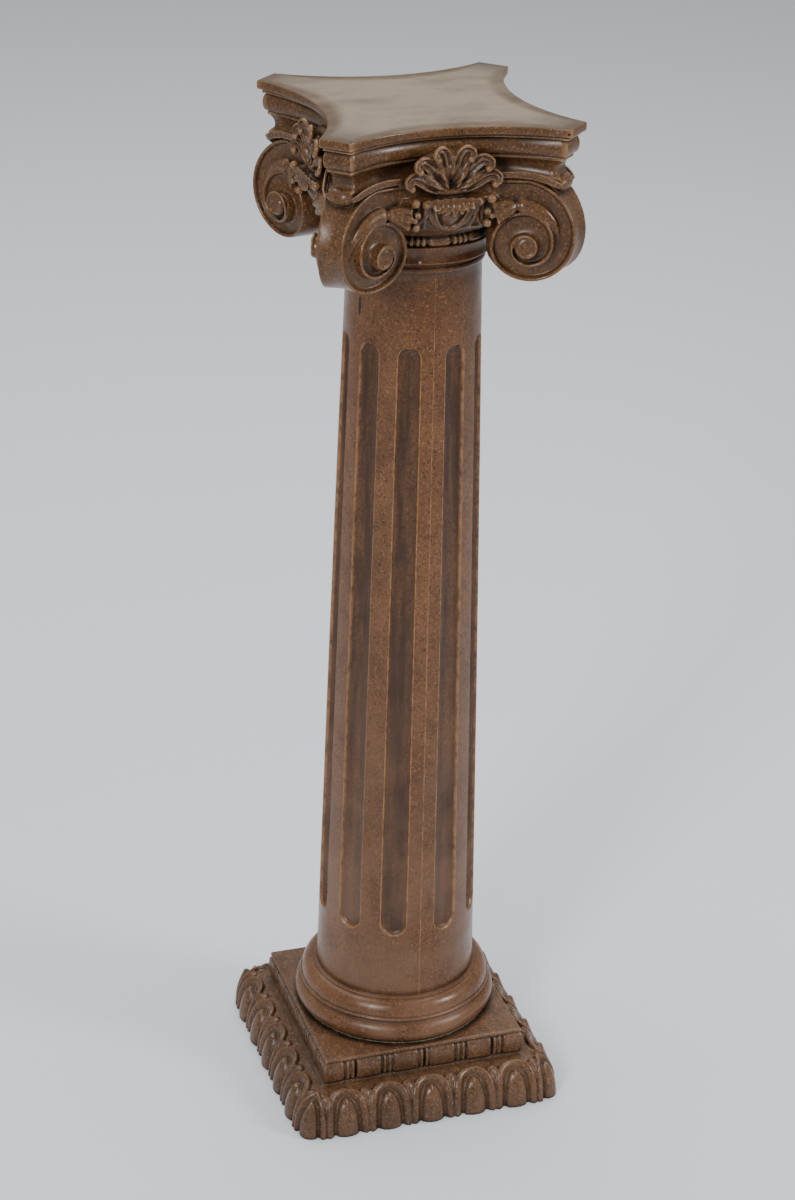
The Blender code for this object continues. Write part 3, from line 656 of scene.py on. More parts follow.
def shaft_mesh():
    centres = flute_centres()
    angles = shaft_angles(centres)
    rings = []
    hollow = []
    pale = []
    for radius, z in shaft_profile():
        fluted = FLUTE_LOW - 0.003 < z < FLUTE_HIGH + 0.003
        ring = []
        for angle in angles:
            seam = seam_height(angle, z)
            depth, share, arris = flute_cut(angle, z, centres) if fluted else (0.0, 0.0, 0.0)
            out = radius + seam - depth
            out += 0.00012 * noise.noise(Vector((math.cos(angle) * 3.0, math.sin(angle) * 3.0, z * 22.0)))
            ring.append(polar(out, angle, z))
            hollow.append(share)
            pale.append(max(arris, min(1.0, seam / 0.0004)))
        rings.append(ring)
    shape = Shape()
    shape.add(*grid(rings))
    mesh = shape.mesh("shaft")
    ends = [0.0, 0.0]
    for name, values in (("hollow", hollow + ends), ("pale", pale + ends)):
        mesh.attributes.new(name, "FLOAT", "POINT").data.foreach_set("value", values)
    return mesh


# Capital


def face_point(s, z, lift):
    """A point on the hollow front face: s along its curve, z up, and lift towards the viewer."""
    turn = s / ARC_RADIUS
    reach = ARC_RADIUS + FACE_RECESS - lift
    return Vector((reach * math.sin(turn), -ARC_CENTRE + reach * math.cos(turn), z))


def abacus_loop(inset, z, steps=36):
    """The plan of the abacus, drawn in by inset at its sides and by less at its corners."""
    middle = ABACUS_MID - inset
    diagonal = (ABACUS_REACH + ABACUS_SIDE) / math.sqrt(2) - inset * HORN_INSET
    half_cut = ABACUS_CUT / math.sqrt(2) - inset * HORN_NARROWING
    end_x = (diagonal - half_cut) / math.sqrt(2)
    end_y = (diagonal + half_cut) / math.sqrt(2)
    sag = end_y - middle
    radius = (end_x**2 + sag**2) / (2 * sag)
    limit = math.asin(end_x / radius)
    loop = []
    for quarter in range(4):
        turn = Matrix.Rotation(quarter * math.pi / 2, 3, "Z")
        for step in range(steps + 1):
            angle = limit * (2 * step / steps - 1)
            y = radius * math.cos(angle) - middle - radius
            loop.append(turn @ Vector((radius * math.sin(angle), y, z)))
        start = turn @ Vector((end_x, -end_y, z))
        end = turn @ Vector((end_y, -end_x, z))
        loop += [start.lerp(end, share) for share in (0.04, 0.1, 0.3, 0.5, 0.7, 0.9, 0.96)]
    return loop


# Inset and rise of the abacus's lines: from its foot, from its slab's underside and from its top
FOOT_LINES = (
    (0.03, -0.006), (0.018, -0.003), (0.0158, -0.001), (0.0162, 0.0006), (0.019, 0.0022), (0.0214, 0.0042),
    (0.0226, 0.0066), (0.0226, 0.0092), (0.0214, 0.012), (0.019, 0.0142), (0.0174, 0.0151),
)
FILLET_LINES = (
    (0.016, -0.0229), (0.0152, -0.0227), (0.0138, -0.0226), (0.0135, -0.0222), (0.0135, -0.0204),
    (0.0138, -0.02), (0.0146, -0.0198),
)
SLAB_LINES = (
    (0.0122, -0.0036), (0.0072, -0.0034), (0.0066, -0.003), (0.0065, -0.0018), (0.0068, -0.0013),
    (0.008, -0.001), (0.002, -0.0002), (0.0007, 0.0004), (0.0001, 0.0012), (0.0, 0.0024),
)
TOP_LINES = (
    (0.0, -0.0018), (0.0002, -0.001), (0.0007, -0.0004), (0.0014, -0.0001), (0.0024, 0.0),
    (0.0075, 0.0), (0.022, 0.0),
)


def abacus():
    """Slab, fillet, round moulding, fillet and hollow, from below the hollow up to the top."""
    slab = TOP - ABACUS_SLAB
    profile = [(inset, ABACUS_FOOT_Z + rise) for inset, rise in FOOT_LINES]
    profile += [(inset, slab + rise) for inset, rise in FILLET_LINES]
    for k in range(13):
        turn = math.radians(-58.0 + 124.0 * k / 12)
        profile.append((0.0135 - 0.0065 * math.cos(turn), slab - 0.0115 + 0.0082 * math.sin(turn)))
    profile += [(inset, slab + rise) for inset, rise in SLAB_LINES]
    profile += [(inset, TOP + rise) for inset, rise in TOP_LINES]
    return grid([abacus_loop(inset, z) for inset, z in profile])


def volute_radius(quarter):
    last = len(VOLUTE_RADII) - 1
    k = min(int(quarter), last - 1)
    before = VOLUTE_RADII[max(k - 1, 0)]
    here, after = VOLUTE_RADII[k], VOLUTE_RADII[k + 1]
    beyond = VOLUTE_RADII[min(k + 2, last)]
    t = quarter - k
    start, end = (after - before) / 2, (beyond - here) / 2
    if k == 0:
        start = after - here
    bend = (2 * t**3 - 3 * t**2 + 1) * here + (t**3 - 2 * t**2 + t) * start
    return bend + (3 * t**2 - 2 * t**3) * after + (t**3 - t**2) * end


def rim_lift(quarter):
    share = clamped((quarter - 2.5) / 2.5)
    return INNER_RISE * share * share * (3 - 2 * share)


RIM_SHAPE = ((0.0, -0.0012), (0.1, -0.0003), (0.3, 0.0), (0.6, -0.0001), (0.82, -0.0007), (0.95, -0.002))
FLOOR_SHAPE = ((0.0, 0.0007), (0.08, 0.0001), (0.3, 0.0), (0.55, 0.0003), (0.8, 0.0009), (1.0, 0.0018))


def volute_section(quarter):
    """Distances from the eye, and lifts, across one turn: a rounded rim and a hollow canal."""
    outer = volute_radius(quarter)
    inner = volute_radius(quarter + 4) if quarter <= 4 else EYE_RADIUS
    crest = rim_lift(quarter)
    rim = min(RIM_WIDTH, (outer - inner) * 0.42)
    depth = CANAL_DEPTH * clamped((8.0 - quarter) / 1.5)
    fade = depth / CANAL_DEPTH
    section = [(outer - rim * t, crest + lift * fade) for t, lift in RIM_SHAPE]
    start = outer - rim * 1.05
    section += [(start + (inner - start) * t, crest - depth + lift * fade) for t, lift in FLOOR_SHAPE]
    return section


def half_face(steps=14, wall_steps=5):
    """Half of one hollow face, open at x = 0 and at the diagonal plane, where its mirror images join it."""
    corners = []
    faces = []
    turn_rows = 4 * steps

    def point(place):
        corners.append(place)
        return len(corners) - 1

    def front(s, distance, turn, lift):
        return point(face_point(s + distance * math.sin(turn), EYE_Z + distance * math.cos(turn), lift))

    def back(quarter):
        turn = quarter * math.pi / 2
        distance = volute_radius(quarter)
        nearest = HORN_CLEARANCE / math.sqrt(2)
        angle = (EYE_S + distance * math.sin(turn)) / ARC_RADIUS
        out = ARC_CENTRE / (math.sin(angle) + math.cos(angle)) * math.sin(angle)
        out = max(out, nearest) if 0.0 < quarter < 3.0 else nearest
        return Vector((out, -out, EYE_Z + distance * math.cos(turn)))

    def wall_line(rim_corner, foot):
        """Corners from the rim in to the diagonal plane, curved so that the two walls meet smoothly."""
        rim = corners[rim_corner]
        deep_rim, wide_rim = (rim.x - rim.y) / math.sqrt(2), (rim.x + rim.y) / math.sqrt(2)
        deep_foot = (foot.x - foot.y) / math.sqrt(2)
        pull = deep_foot * 0.85 + deep_rim * 0.15
        line = [rim_corner]
        for k in range(1, wall_steps + 1):
            t = k / wall_steps
            deep = (1 - t) ** 2 * deep_rim + 2 * t * (1 - t) * pull + t * t * deep_foot
            wide = (1 - t) ** 2 * wide_rim + 2 * t * (1 - t) * wide_rim * 0.5
            z = rim.z + (foot.z - rim.z) * t
            line.append(point(Vector(((deep + wide) / math.sqrt(2), (wide - deep) / math.sqrt(2), z))))
        return line

    rows = []
    canal_steps = 6
    canal_back = []
    for k in range(canal_steps):
        s = EYE_S * k / canal_steps
        section = volute_section(0.0)
        rows.append([front(s, distance, 0.0, lift) for distance, lift in section])
        canal_back.append([front(s, section[i][0], 0.0, -CANAL_BACK) for i in (0, -1)])
    spiral = []
    for k in range(2 * turn_rows + 1):
        quarter = k / steps
        spiral.append([front(EYE_S, d, quarter * math.pi / 2, lift) for d, lift in volute_section(quarter)])
    walls = [wall_line(spiral[k][0], back(k / steps)) for k in range(turn_rows)]
    last_foot = point(back(4.0))
    rows += spiral
    for row, after in zip(rows, rows[1:]):
        for i in range(len(row) - 1):
            faces.append([row[i], row[i + 1], after[i + 1], after[i]])
    tops = [pair[0] for pair in canal_back] + [walls[0][-1]]
    feet = [pair[1] for pair in canal_back] + [last_foot]
    for k in range(canal_steps - 1):
        faces.append([tops[k], tops[k + 1], rows[k + 1][0], rows[k][0]])
    faces.append([tops[-2], *reversed(walls[0]), rows[canal_steps - 1][0]])
    for k in range(canal_steps):
        faces.append([rows[k][-1], rows[k + 1][-1], feet[k + 1], feet[k]])
        faces.append([feet[k], feet[k + 1], tops[k + 1], tops[k]])
    for line, after in zip(walls, walls[1:]):
        for i in range(wall_steps):
            faces.append([line[i], line[i + 1], after[i + 1], after[i]])
    faces.append([*walls[-1], last_foot, spiral[0][-1], spiral[turn_rows][0]])
    inner_turn = spiral[turn_rows:]
    for k in range(turn_rows):
        faces.append([spiral[k][-1], spiral[k + 1][-1], inner_turn[k + 1][0], inner_turn[k][0]])
    ring = [row[-1] for row in inner_turn]
    circles = ((0.99, 0.45), (0.94, 0.72), (0.84, 0.9), (0.7, 0.99), (0.45, 1.0))
    previous = ring
    angles = [k / steps * math.pi / 2 for k in range(turn_rows)]
    for share, rise in circles:
        line = [front(EYE_S, EYE_RADIUS * share, angle, EYE_RISE * rise) for angle in angles]
        for k in range(turn_rows):
            after = line[(k + 1) % turn_rows]
            faces.append([previous[k], previous[(k + 1) % len(previous)], after, line[k]])
        if previous is ring:
            faces.append([ring[-1], ring[0], line[0]])
        previous = line
    middle = front(EYE_S, 0.0, 0.0, EYE_RISE * 0.98)
    for k in range(turn_rows):
        faces.append([previous[k], previous[(k + 1) % turn_rows], middle])
    return corners, faces


# The big lobes of the leaf: each path hooks outward at its end; then the blade's half widths
LEAF_LOBES = (
    (
        (0.0015, -0.089, 0.944), (0.011, -0.094, 0.9475), (0.021, -0.0965, 0.953),
        (0.029, -0.0978, 0.958), (0.035, -0.0992, 0.96), (0.0402, -0.1004, 0.958),
        (0.0412, -0.1014, 0.9535), (0.038, -0.1022, 0.9512),
    ),
    (
        (0.001, -0.0885, 0.947), (0.0085, -0.094, 0.956), (0.0165, -0.0966, 0.9655),
        (0.0225, -0.098, 0.9712), (0.0278, -0.0996, 0.9735), (0.0328, -0.101, 0.9716),
        (0.0338, -0.102, 0.9675), (0.031, -0.1028, 0.9656),
    ),
    (
        (0.0012, -0.0885, 0.95), (0.0035, -0.094, 0.96), (0.0058, -0.0966, 0.97),
        (0.0078, -0.098, 0.9775), (0.0112, -0.0996, 0.9822), (0.0155, -0.1008, 0.9815),
        (0.0172, -0.1018, 0.9775), (0.015, -0.1026, 0.9748),
    ),
)
LOBE_WIDTHS = (0.0032, 0.0052, 0.0064, 0.0064, 0.0054, 0.0044, 0.0034, 0.0026)

# The strands that rise between the big lobes: their paths and radii
LEAF_STRANDS = (
    (((0.003, -0.0925, 0.9465), (0.0125, -0.0975, 0.9525), (0.0225, -0.099, 0.959), (0.03, -0.0965, 0.964)),
     (0.0012, 0.0021, 0.0024, 0.0022, 0.0012)),
    (((0.002, -0.0925, 0.952), (0.0075, -0.098, 0.962), (0.0135, -0.099, 0.9715), (0.018, -0.096, 0.9785)),
     (0.0012, 0.002, 0.0024, 0.0022, 0.0012)),
    (((0.004, -0.094, 0.9465), (0.01, -0.099, 0.949), (0.017, -0.1, 0.9525), (0.0235, -0.0985, 0.9545)),
     (0.001, 0.0017, 0.002, 0.0014, 0.0008)),
    (((0.0, -0.094, 0.956), (0.0, -0.0985, 0.964), (0.0, -0.0985, 0.9735), (0.0, -0.096, 0.981)),
     (0.0012, 0.0017, 0.0018, 0.0016, 0.001)),
    (((0.0025, -0.0945, 0.95), (0.0065, -0.0995, 0.956), (0.0105, -0.1003, 0.962), (0.014, -0.0985, 0.967)),
     (0.001, 0.0017, 0.0019, 0.0015, 0.0008)),
)


def lobe_section(widths, ridge):
    """A leaf's blade: three ridges along its face with grooves between, and a shallow rounded back."""

    def section(t, angle):
        wide = blend_list(widths, t)
        u, v = math.cos(angle), math.sin(angle)
        if v < 0:
            return wide * u, v * wide * 0.36
        face = ridge * (1.3 + math.cos(2.5 * math.pi * u))
        return wide * u, face * min(1.0, v * 3.5)

    return section


def add_leaf(shape):
    """The spray of leaves in the middle of each face, on a full back that fills the hollow behind it."""
    for points in LEAF_LOBES:
        shape.add(*rod(points, 8, lobe_section(LOBE_WIDTHS, 0.0014), around=44), HALF_SIDES)
        shape.add(*ellipsoid(points[-1], (0.0034, 0.0034, 0.0034), around=14, rows=10), HALF_SIDES)
    for points, radii in LEAF_STRANDS:
        strand = rod(points, 6, round_section(radii), around=14)
        shape.add(*strand, HALF_SIDES if points[1][0] else SIDES)
    comma = Matrix.Rotation(math.radians(38.0), 3, "Y")
    seed = ellipsoid((0.0058, -0.099, 0.952), (0.0012, 0.002, 0.004), comma, around=12, rows=8)
    shape.add(*seed, HALF_SIDES)
    shape.add(*ellipsoid((0.0, -0.0835, 0.9625), (0.03, 0.0098, 0.0195), around=28, rows=18), SIDES)
    shape.add(*ellipsoid((0.0, -0.0955, 0.9655), (0.0045, 0.005, 0.0065), around=18, rows=12), SIDES)
    shape.add(*ellipsoid((0.0, -0.0925, 0.9445), (0.018, 0.0068, 0.004), around=24, rows=10), SIDES)


def husk_section(t, angle):
    """A stalk that swells to a collar, then a ribbed bud that flares at its mouth."""
    radii = (0.0014, 0.003, 0.0044, 0.0054, 0.006, 0.0068, 0.004, 0.0072, 0.0094, 0.0112, 0.0132)
    radius = blend_list(radii, t)
    open_share = clamped((t - 0.6) / 0.15)
    radius *= 1.0 - 0.22 * open_share * (1.0 - abs(math.cos(3.5 * angle)))
    return radius * math.cos(angle), radius * math.sin(angle) * 0.66


HUSK_CHART = (
    (0.0965, 0.901, -0.0045), (0.0935, 0.912, -0.002), (0.085, 0.9225, 0.0), (0.074, 0.9285, 0.0005),
    (0.065, 0.93, 0.0008), (0.0585, 0.9292, 0.0012), (0.052, 0.9285, 0.0025), (0.0455, 0.9268, 0.003),
    (0.04, 0.925, 0.003),
)
BERRIES = (
    ((0.0345, -0.103, 0.9385), 0.0042), ((0.0318, -0.1005, 0.927), 0.0034),
    ((0.0328, -0.099, 0.916), 0.004), ((0.0352, -0.104, 0.9235), 0.0026),
)


def add_husks(shape):
    stalk = [face_point(*p) for p in HUSK_CHART]
    shape.add(*rod(stalk, 6, husk_section, around=48, out=(0.0, -1.0, 0.3)), HALF_SIDES)
    for place, radius in BERRIES:
        shape.add(*ellipsoid(place, (radius,) * 3, around=16, rows=10), HALF_SIDES)


def echinus_reach(z):
    """How far the bell stands out at a height, from the bead row to the eggs' top."""
    share = clamped((z - BEAD_ROW_TOP - 0.008) / (ECHINUS_TOP - BEAD_ROW_TOP - 0.008))
    return ECHINUS_RADIUS - 0.014 * (1.0 - share) ** 2.2


# Size and lift of each line of an egg, from its foot to its crown
EGG_LINES = ((1.0, -0.006), (1.0, -0.001), (0.93, 0.0012), (0.8, 0.0028), (0.6, 0.0042), (0.3, 0.005))


def add_eggs(shape):
    """An egg in the middle of each face in a double frame, parts of the next ones, and a wavy edge."""
    top = ECHINUS_TOP - 0.002

    def wall(angle, z, lift):
        reach = echinus_reach(z) - 0.0015 + lift
        return Vector((reach * math.sin(angle), -reach * math.cos(angle), z))

    for middle, places in ((0.0, SIDES), (math.radians(25.5), HALF_SIDES)):
        rings = []
        for size, lift in EGG_LINES:
            ring = []
            for turn in circle(24):
                wide = math.radians(6.4) * size * math.sin(turn) * (0.92 - 0.08 * math.cos(turn))
                ring.append(wall(middle + wide, 0.9262 - 0.0142 * size * math.cos(turn), lift))
            rings.append(ring)
        shape.add(*grid(rings), places)
        for half_width, thick, lift in ((8.6, 0.0015, 0.0022), (11.8, 0.0022, 0.0012)):
            points = []
            for k in range(13):
                turn = math.pi * (k / 12 - 0.5)
                z = top - (top - EGG_BOTTOM) * max(math.cos(turn), 0.0) ** 0.75
                points.append(wall(middle + math.radians(half_width) * math.sin(turn), z, lift))
            shape.add(*rod(points, 3, round_section((thick, thick), flat=1.1), around=12), places)
    dart = ((0.9375, 0.003), (0.93, 0.003), (0.92, 0.002), (0.911, 0.001))
    points = [wall(math.radians(13.6), z, lift) for z, lift in dart]
    shape.add(*rod(points, 5, round_section((0.0026, 0.0022, 0.0016, 0.0012))), HALF_SIDES)
    edge = []
    for k in range(241):
        turn = FULL_TURN * k / 240
        wave = abs(math.sin(turn * 14.0))
        edge.append(wall(turn, 0.9108 - 0.0016 * wave, 0.0004))
    shape.add(*sweep(edge, FRONT, round_section((0.0013, 0.0013)), around=10))


def add_cuff(shape):
    """The small leaf that folds over the middle egg, with a tiny scroll at each end."""
    points = []
    for k in range(25):
        x = -0.024 + 0.048 * k / 24
        wave = 0.0005 * math.cos(x * 800.0)
        points.append((x, -0.103 - 0.0012 * math.cos(x * 65.0) + wave * 0.5, 0.9378 + wave))
    fold = round_section((0.002, 0.0024, 0.0026, 0.0024, 0.002), flat=1.5)
    shape.add(*rod(points, 2, fold, out=UP), SIDES)
    shape.add(*ellipsoid((0.0243, -0.1022, 0.9364), (0.004, 0.003, 0.004), around=18, rows=12), HALF_SIDES)
    shape.add(*ellipsoid((0.0243, -0.105, 0.9364), (0.0018, 0.0014, 0.0018), around=12, rows=8), HALF_SIDES)
    fringe = ((-0.02, -0.1, 0.935), (0.0, -0.1025, 0.934), (0.02, -0.1, 0.935))
    shape.add(*rod(fringe, 10, round_section((0.003, 0.0042, 0.003)), out=UP), SIDES)
    blade = lobe_section((0.0016, 0.0026, 0.0024, 0.0012), 0.001)
    for x, low, lean in (
        (0.0, 0.9265, 0.0), (0.0048, 0.928, 0.0016), (0.0094, 0.93, 0.0026), (0.014, 0.9325, 0.003),
    ):
        places = HALF_SIDES if x else SIDES
        points = (
            (x, -0.1035, 0.937), (x + lean * 0.3, -0.1062, 0.9345),
            (x + lean * 0.9, -0.1065, (low + 0.9345) / 2), (x + lean * 1.5, -0.105, low),
        )
        shape.add(*rod(points, 6, blade, around=18), places)
        if x < 0.012:
            shape.add(*ellipsoid(points[-1], (0.0017, 0.0017, 0.0015), around=12, rows=8), places)


def add_beads(shape):
    """Barrels and groups of three reels round the foot of the capital."""
    middle = (CAPITAL_FOOT + BEAD_ROW_TOP) / 2
    half = (BEAD_ROW_TOP - CAPITAL_FOOT) / 2 - 0.0003
    pitch = 360.0 / BEAD_GROUPS

    def bar(start, end, radius):
        points = []
        for k in range(9):
            angle = math.radians(start + (end - start) * k / 8)
            place = Vector((math.sin(angle), -math.cos(angle), 0.0)) * (BEAD_RADIUS - 0.004)
            points.append(place + Vector((0.0, 0.0, middle)))

        def section(t, angle):
            size = radius * (1.0 - abs(2 * t - 1) ** 6 * 0.55)
            return size * math.cos(angle), size * math.sin(angle)

        return sweep(points, UP, section, around=18)

    shape.add(*bar(-9.3, 9.3, half), turns(BEAD_GROUPS))
    for shift in (-4.4, 0.0, 4.4):
        at = pitch / 2 + shift
        shape.add(*bar(at - 1.7, at + 1.7, half * 0.96), turns(BEAD_GROUPS))


RIBBON_CHART = (
    (0.03, 0.9535, -0.002), (0.042, 0.956, -0.0005), (0.056, 0.9572, 0.0004), (0.07, 0.9568, 0.0008),
    (0.083, 0.954, 0.0004), (0.092, 0.9502, -0.0008), (0.0965, 0.9478, -0.0035),
)


def add_knobs(shape):
    """The scroll under each corner of the abacus, and the ribbons that run to it from the leaves."""
    across = Vector((1.0, 1.0, 0.0)).normalized()
    out = Vector((1.0, -1.0, 0.0)).normalized()
    centre = out * KNOB_DISTANCE + Vector((0.0, 0.0, KNOB_Z))
    path = [centre + across * (KNOB_HALF_LENGTH * (k / 14 - 1)) for k in range(29)]

    def section(t, angle):
        end = abs(2 * t - 1)
        groove = 0.0007 * math.exp(-((end - 0.62) / 0.05) ** 2)
        radius = KNOB_RADIUS * math.sqrt(max(0.02, 1.0 - end ** 3.2)) - groove
        return radius * math.cos(angle), radius * math.sin(angle)

    shape.add(*sweep(path, out, section, around=30), SIDES)
    neck = ((0.114, 0.954), (0.121, 0.9495), (0.13, 0.945), (0.138, 0.9424))
    points = [out * distance + Vector((0.0, 0.0, z)) for distance, z in neck]
    sheet = round_section((0.0085, 0.0085, 0.0085, 0.0082), flat=0.3)
    shape.add(*rod(points, 6, sheet, out=out * 0.5 + Vector(UP)), SIDES)

    def ribbon(t, angle):
        size = blend_list((0.0024, 0.0032, 0.0036, 0.0034, 0.0026), t)
        u = math.cos(angle)
        bead = 0.001 * math.exp(-((u + 0.85) / 0.25) ** 2)
        return size * u, math.sin(angle) * (0.0012 + bead) + 0.0009 * u * u

    stalk = [face_point(*p) for p in RIBBON_CHART]
    shape.add(*rod(stalk, 6, ribbon, around=28), HALF_SIDES)


def add_commas(shape):
    """The last thin turn of each spiral, which runs into its eye."""
    points = []
    for k in range(25):
        t = k / 24
        turn = math.radians(190.0 + 390.0 * t)
        distance = 0.0148 - 0.0088 * t
        lift = INNER_RISE - 0.0004 + (EYE_RISE - INNER_RISE) * min(1.0, t * 1.9)
        s, z = EYE_S + distance * math.sin(turn), EYE_Z + distance * math.cos(turn)
        points.append(face_point(s, z, lift))
    section = round_section((0.0006, 0.0014, 0.0015, 0.0014, 0.0012))
    shape.add(*rod(points, 2, section, around=14), HALF_SIDES)


def capital_mesh():
    shape = Shape()
    ring = Shape()
    ring.add(*half_face(), HALF_SIDES)
    whole = ring.mesh("faces")
    bm = bmesh.new()
    bm.from_mesh(whole)
    bmesh.ops.remove_doubles(bm, verts=bm.verts, dist=WELD_DISTANCE)
    bmesh.ops.recalc_face_normals(bm, faces=bm.faces)
    bm.verts.index_update()
    shape.add([v.co.copy() for v in bm.verts], [[v.index for v in f.verts] for f in bm.faces])
    bm.free()
    neck = BEAD_RADIUS - 0.0045
    core = [(neck, CAPITAL_FOOT), (neck, BEAD_ROW_TOP - 0.0005)]
    core += [(BEAD_RADIUS + 0.004, BEAD_ROW_TOP + 0.0012), (BEAD_RADIUS + 0.012, BEAD_ROW_TOP + 0.0075)]
    core += [(echinus_reach(z) - 0.0015, z) for z in (0.909, 0.913, 0.918, 0.924, 0.93, 0.935, 0.938)]
    core += [(ECHINUS_RADIUS - 0.012, ECHINUS_TOP + 0.001), (ECHINUS_RADIUS - 0.022, ABACUS_FOOT_Z - 0.003)]
    shape.add(*turned(core))
    for add in (add_leaf, add_husks, add_eggs, add_cuff, add_beads, add_knobs, add_commas):
        add(shape)
    return with_crisp(fused(shape, "capital", VOXEL_CAPITAL), abacus(), len(abacus_loop(0.0, TOP)))


# Materials


class Nodes:
    """Short names for adding and joining a material's shader nodes."""

    def __init__(self, material):
        material.use_nodes = True
        self.tree = material.node_tree
        self.shader = self.tree.nodes["Principled BSDF"]
        self.where = self.node("ShaderNodeTexCoord", {}, "Object")

    def feed(self, node, values):
        """Gives inputs their values: a number, a tuple or another node's output."""
        for name, value in values.items():
            if isinstance(value, bpy.types.NodeSocket):
                self.tree.links.new(value, node.inputs[name])
            else:
                node.inputs[name].default_value = value

    def node(self, kind, values, output, **settings):
        made = self.tree.nodes.new(kind)
        for key, value in settings.items():
            setattr(made, key, value)
        self.feed(made, values)
        return made.outputs[output]

    def noise(self, scale, detail=4.0, rough=0.55, stretch=None):
        where = self.where
        if stretch:
            where = self.node("ShaderNodeMapping", {"Scale": stretch, "Vector": where}, "Vector")
        values = {"Scale": scale, "Detail": detail, "Roughness": rough, "Vector": where}
        return self.node("ShaderNodeTexNoise", values, "Fac")

    def height(self):
        return self.node("ShaderNodeSeparateXYZ", {"Vector": self.where}, "Z")

    def attribute(self, name):
        return self.node("ShaderNodeAttribute", {}, "Fac", attribute_name=name)

    def ramp(self, source, low, high, start=0.0, end=1.0):
        """The source eased from start to end while it goes from low to high."""
        values = {"From Min": low, "From Max": high, "To Min": start, "To Max": end, "Value": source}
        kind = "ShaderNodeMapRange"
        return self.node(kind, values, "Result", clamp=True, interpolation_type="SMOOTHSTEP")

    def math(self, operation, first, second):
        return self.node("ShaderNodeMath", {0: first, 1: second}, "Value", operation=operation)

    def times(self, first, second):
        return self.math("MULTIPLY", first, second)

    def mix(self, factor, first, second):
        first, second = ((*c, 1.0) if isinstance(c, tuple) else c for c in (first, second))
        values = {"Factor": factor, "A": first, "B": second}
        return self.node("ShaderNodeMix", values, "Result", data_type="RGBA")


def darker(colour, share):
    return tuple(c * share for c in colour)


def resin(name, body, warm, edge, dirt_and_shade, edge_amount, dirt_and_shade_amount, extra=None):
    """Brown cast resin: mottled colour, fine specks, worn pale edges, and dark patina with painted shade in
    the hollows.
    """
    material = bpy.data.materials.new(name)
    n = Nodes(material)
    pointiness = n.node("ShaderNodeNewGeometry", {}, "Pointiness")
    colour = n.mix(n.ramp(n.noise(9.0, 5.0), 0.35, 0.68), body, warm)
    # Streaks, blotches, pores and pale grains: the noise, where it sets in, its strength and its tint
    for stretch, scale, detail, rough, low, high, strength, tint in (
        ((26.0, 26.0, 5.0), 2.0, 6.0, 0.6, 0.42, 0.72, 0.35, darker(body, 0.62)),
        (None, 42.0, 6.0, 0.65, 0.46, 0.7, 0.5, darker(body, 0.45)),
        (None, 400.0, 2.0, 0.55, 0.54, 0.64, 0.7, darker(body, 0.36)),
        (None, 480.0, 3.0, 0.55, 0.54, 0.7, 0.38, edge),
    ):
        spots = n.ramp(n.noise(scale, detail, rough, stretch), low, high, 0.0, strength)
        colour = n.mix(spots, colour, tint)
    worn = n.ramp(pointiness, 0.512, 0.6, 0.0, edge_amount)
    breaks = n.ramp(n.noise(75.0), 0.3, 0.6, 0.35, 1.0)
    colour = n.mix(n.times(worn, breaks), colour, edge)
    # Painted shade mixed with dirt: creases (concave pointiness) and occluded hollows (ambient occlusion)
    # are darkened towards the near-black dirt-and-shade colour
    sunk = n.ramp(pointiness, 0.492, 0.44, 0.0, dirt_and_shade_amount)
    shelter = n.node("ShaderNodeAmbientOcclusion", {"Distance": 0.008}, "AO", samples=8)
    grime_and_shade = n.math("MAXIMUM", sunk, n.ramp(shelter, 0.9, 0.42, 0.0, dirt_and_shade_amount))
    patchy = n.ramp(n.noise(60.0), 0.25, 0.65, 0.45, 1.0)
    colour = n.mix(n.times(grime_and_shade, patchy), colour, dirt_and_shade)
    matt = None
    if extra:
        colour, matt = extra(n, colour)
    gloss = n.math("ADD", n.ramp(n.noise(38.0), 0.3, 0.7, 0.24, 0.38), n.times(grime_and_shade, 0.25))
    if matt:
        gloss = n.math("ADD", gloss, n.times(matt, 0.55))
    relief = n.math("ADD", n.noise(55.0, 3.0), n.times(n.noise(320.0, 3.0), 0.35))
    bump = n.node("ShaderNodeBump", {"Strength": 0.35, "Distance": BUMP_DEPTH, "Height": relief}, "Normal")
    n.feed(n.shader, {"Base Color": colour, "Roughness": gloss, "Specular IOR Level": 0.34, "Normal": bump})
    return material


def marks(n, colour, places, tint):
    """Small round marks, each given by its centre and radius."""
    for place, radius in places:
        apart = n.node("ShaderNodeVectorMath", {0: n.where, 1: place}, "Value", operation="DISTANCE")
        colour = n.mix(n.ramp(apart, radius * 1.25, radius * 0.75), colour, tint)
    return colour


# Places and radii of the dark drip and the pale chip on the shaft, and of the pits in the capital
DRIP = tuple(((-0.0579, -0.0238, 0.8297 - 0.002 * k), 0.0016) for k in range(8))
CHIP = (((-0.0169, -0.0671, 0.874), 0.0016),)
PITS = (
    ((-0.0973, -0.1158, 0.9995), 0.0015), ((0.0963, -0.1194, 0.9952), 0.0014),
    ((0.0091, -0.0916, 0.9965), 0.001), ((-0.0694, -0.1127, 0.889), 0.0018),
)


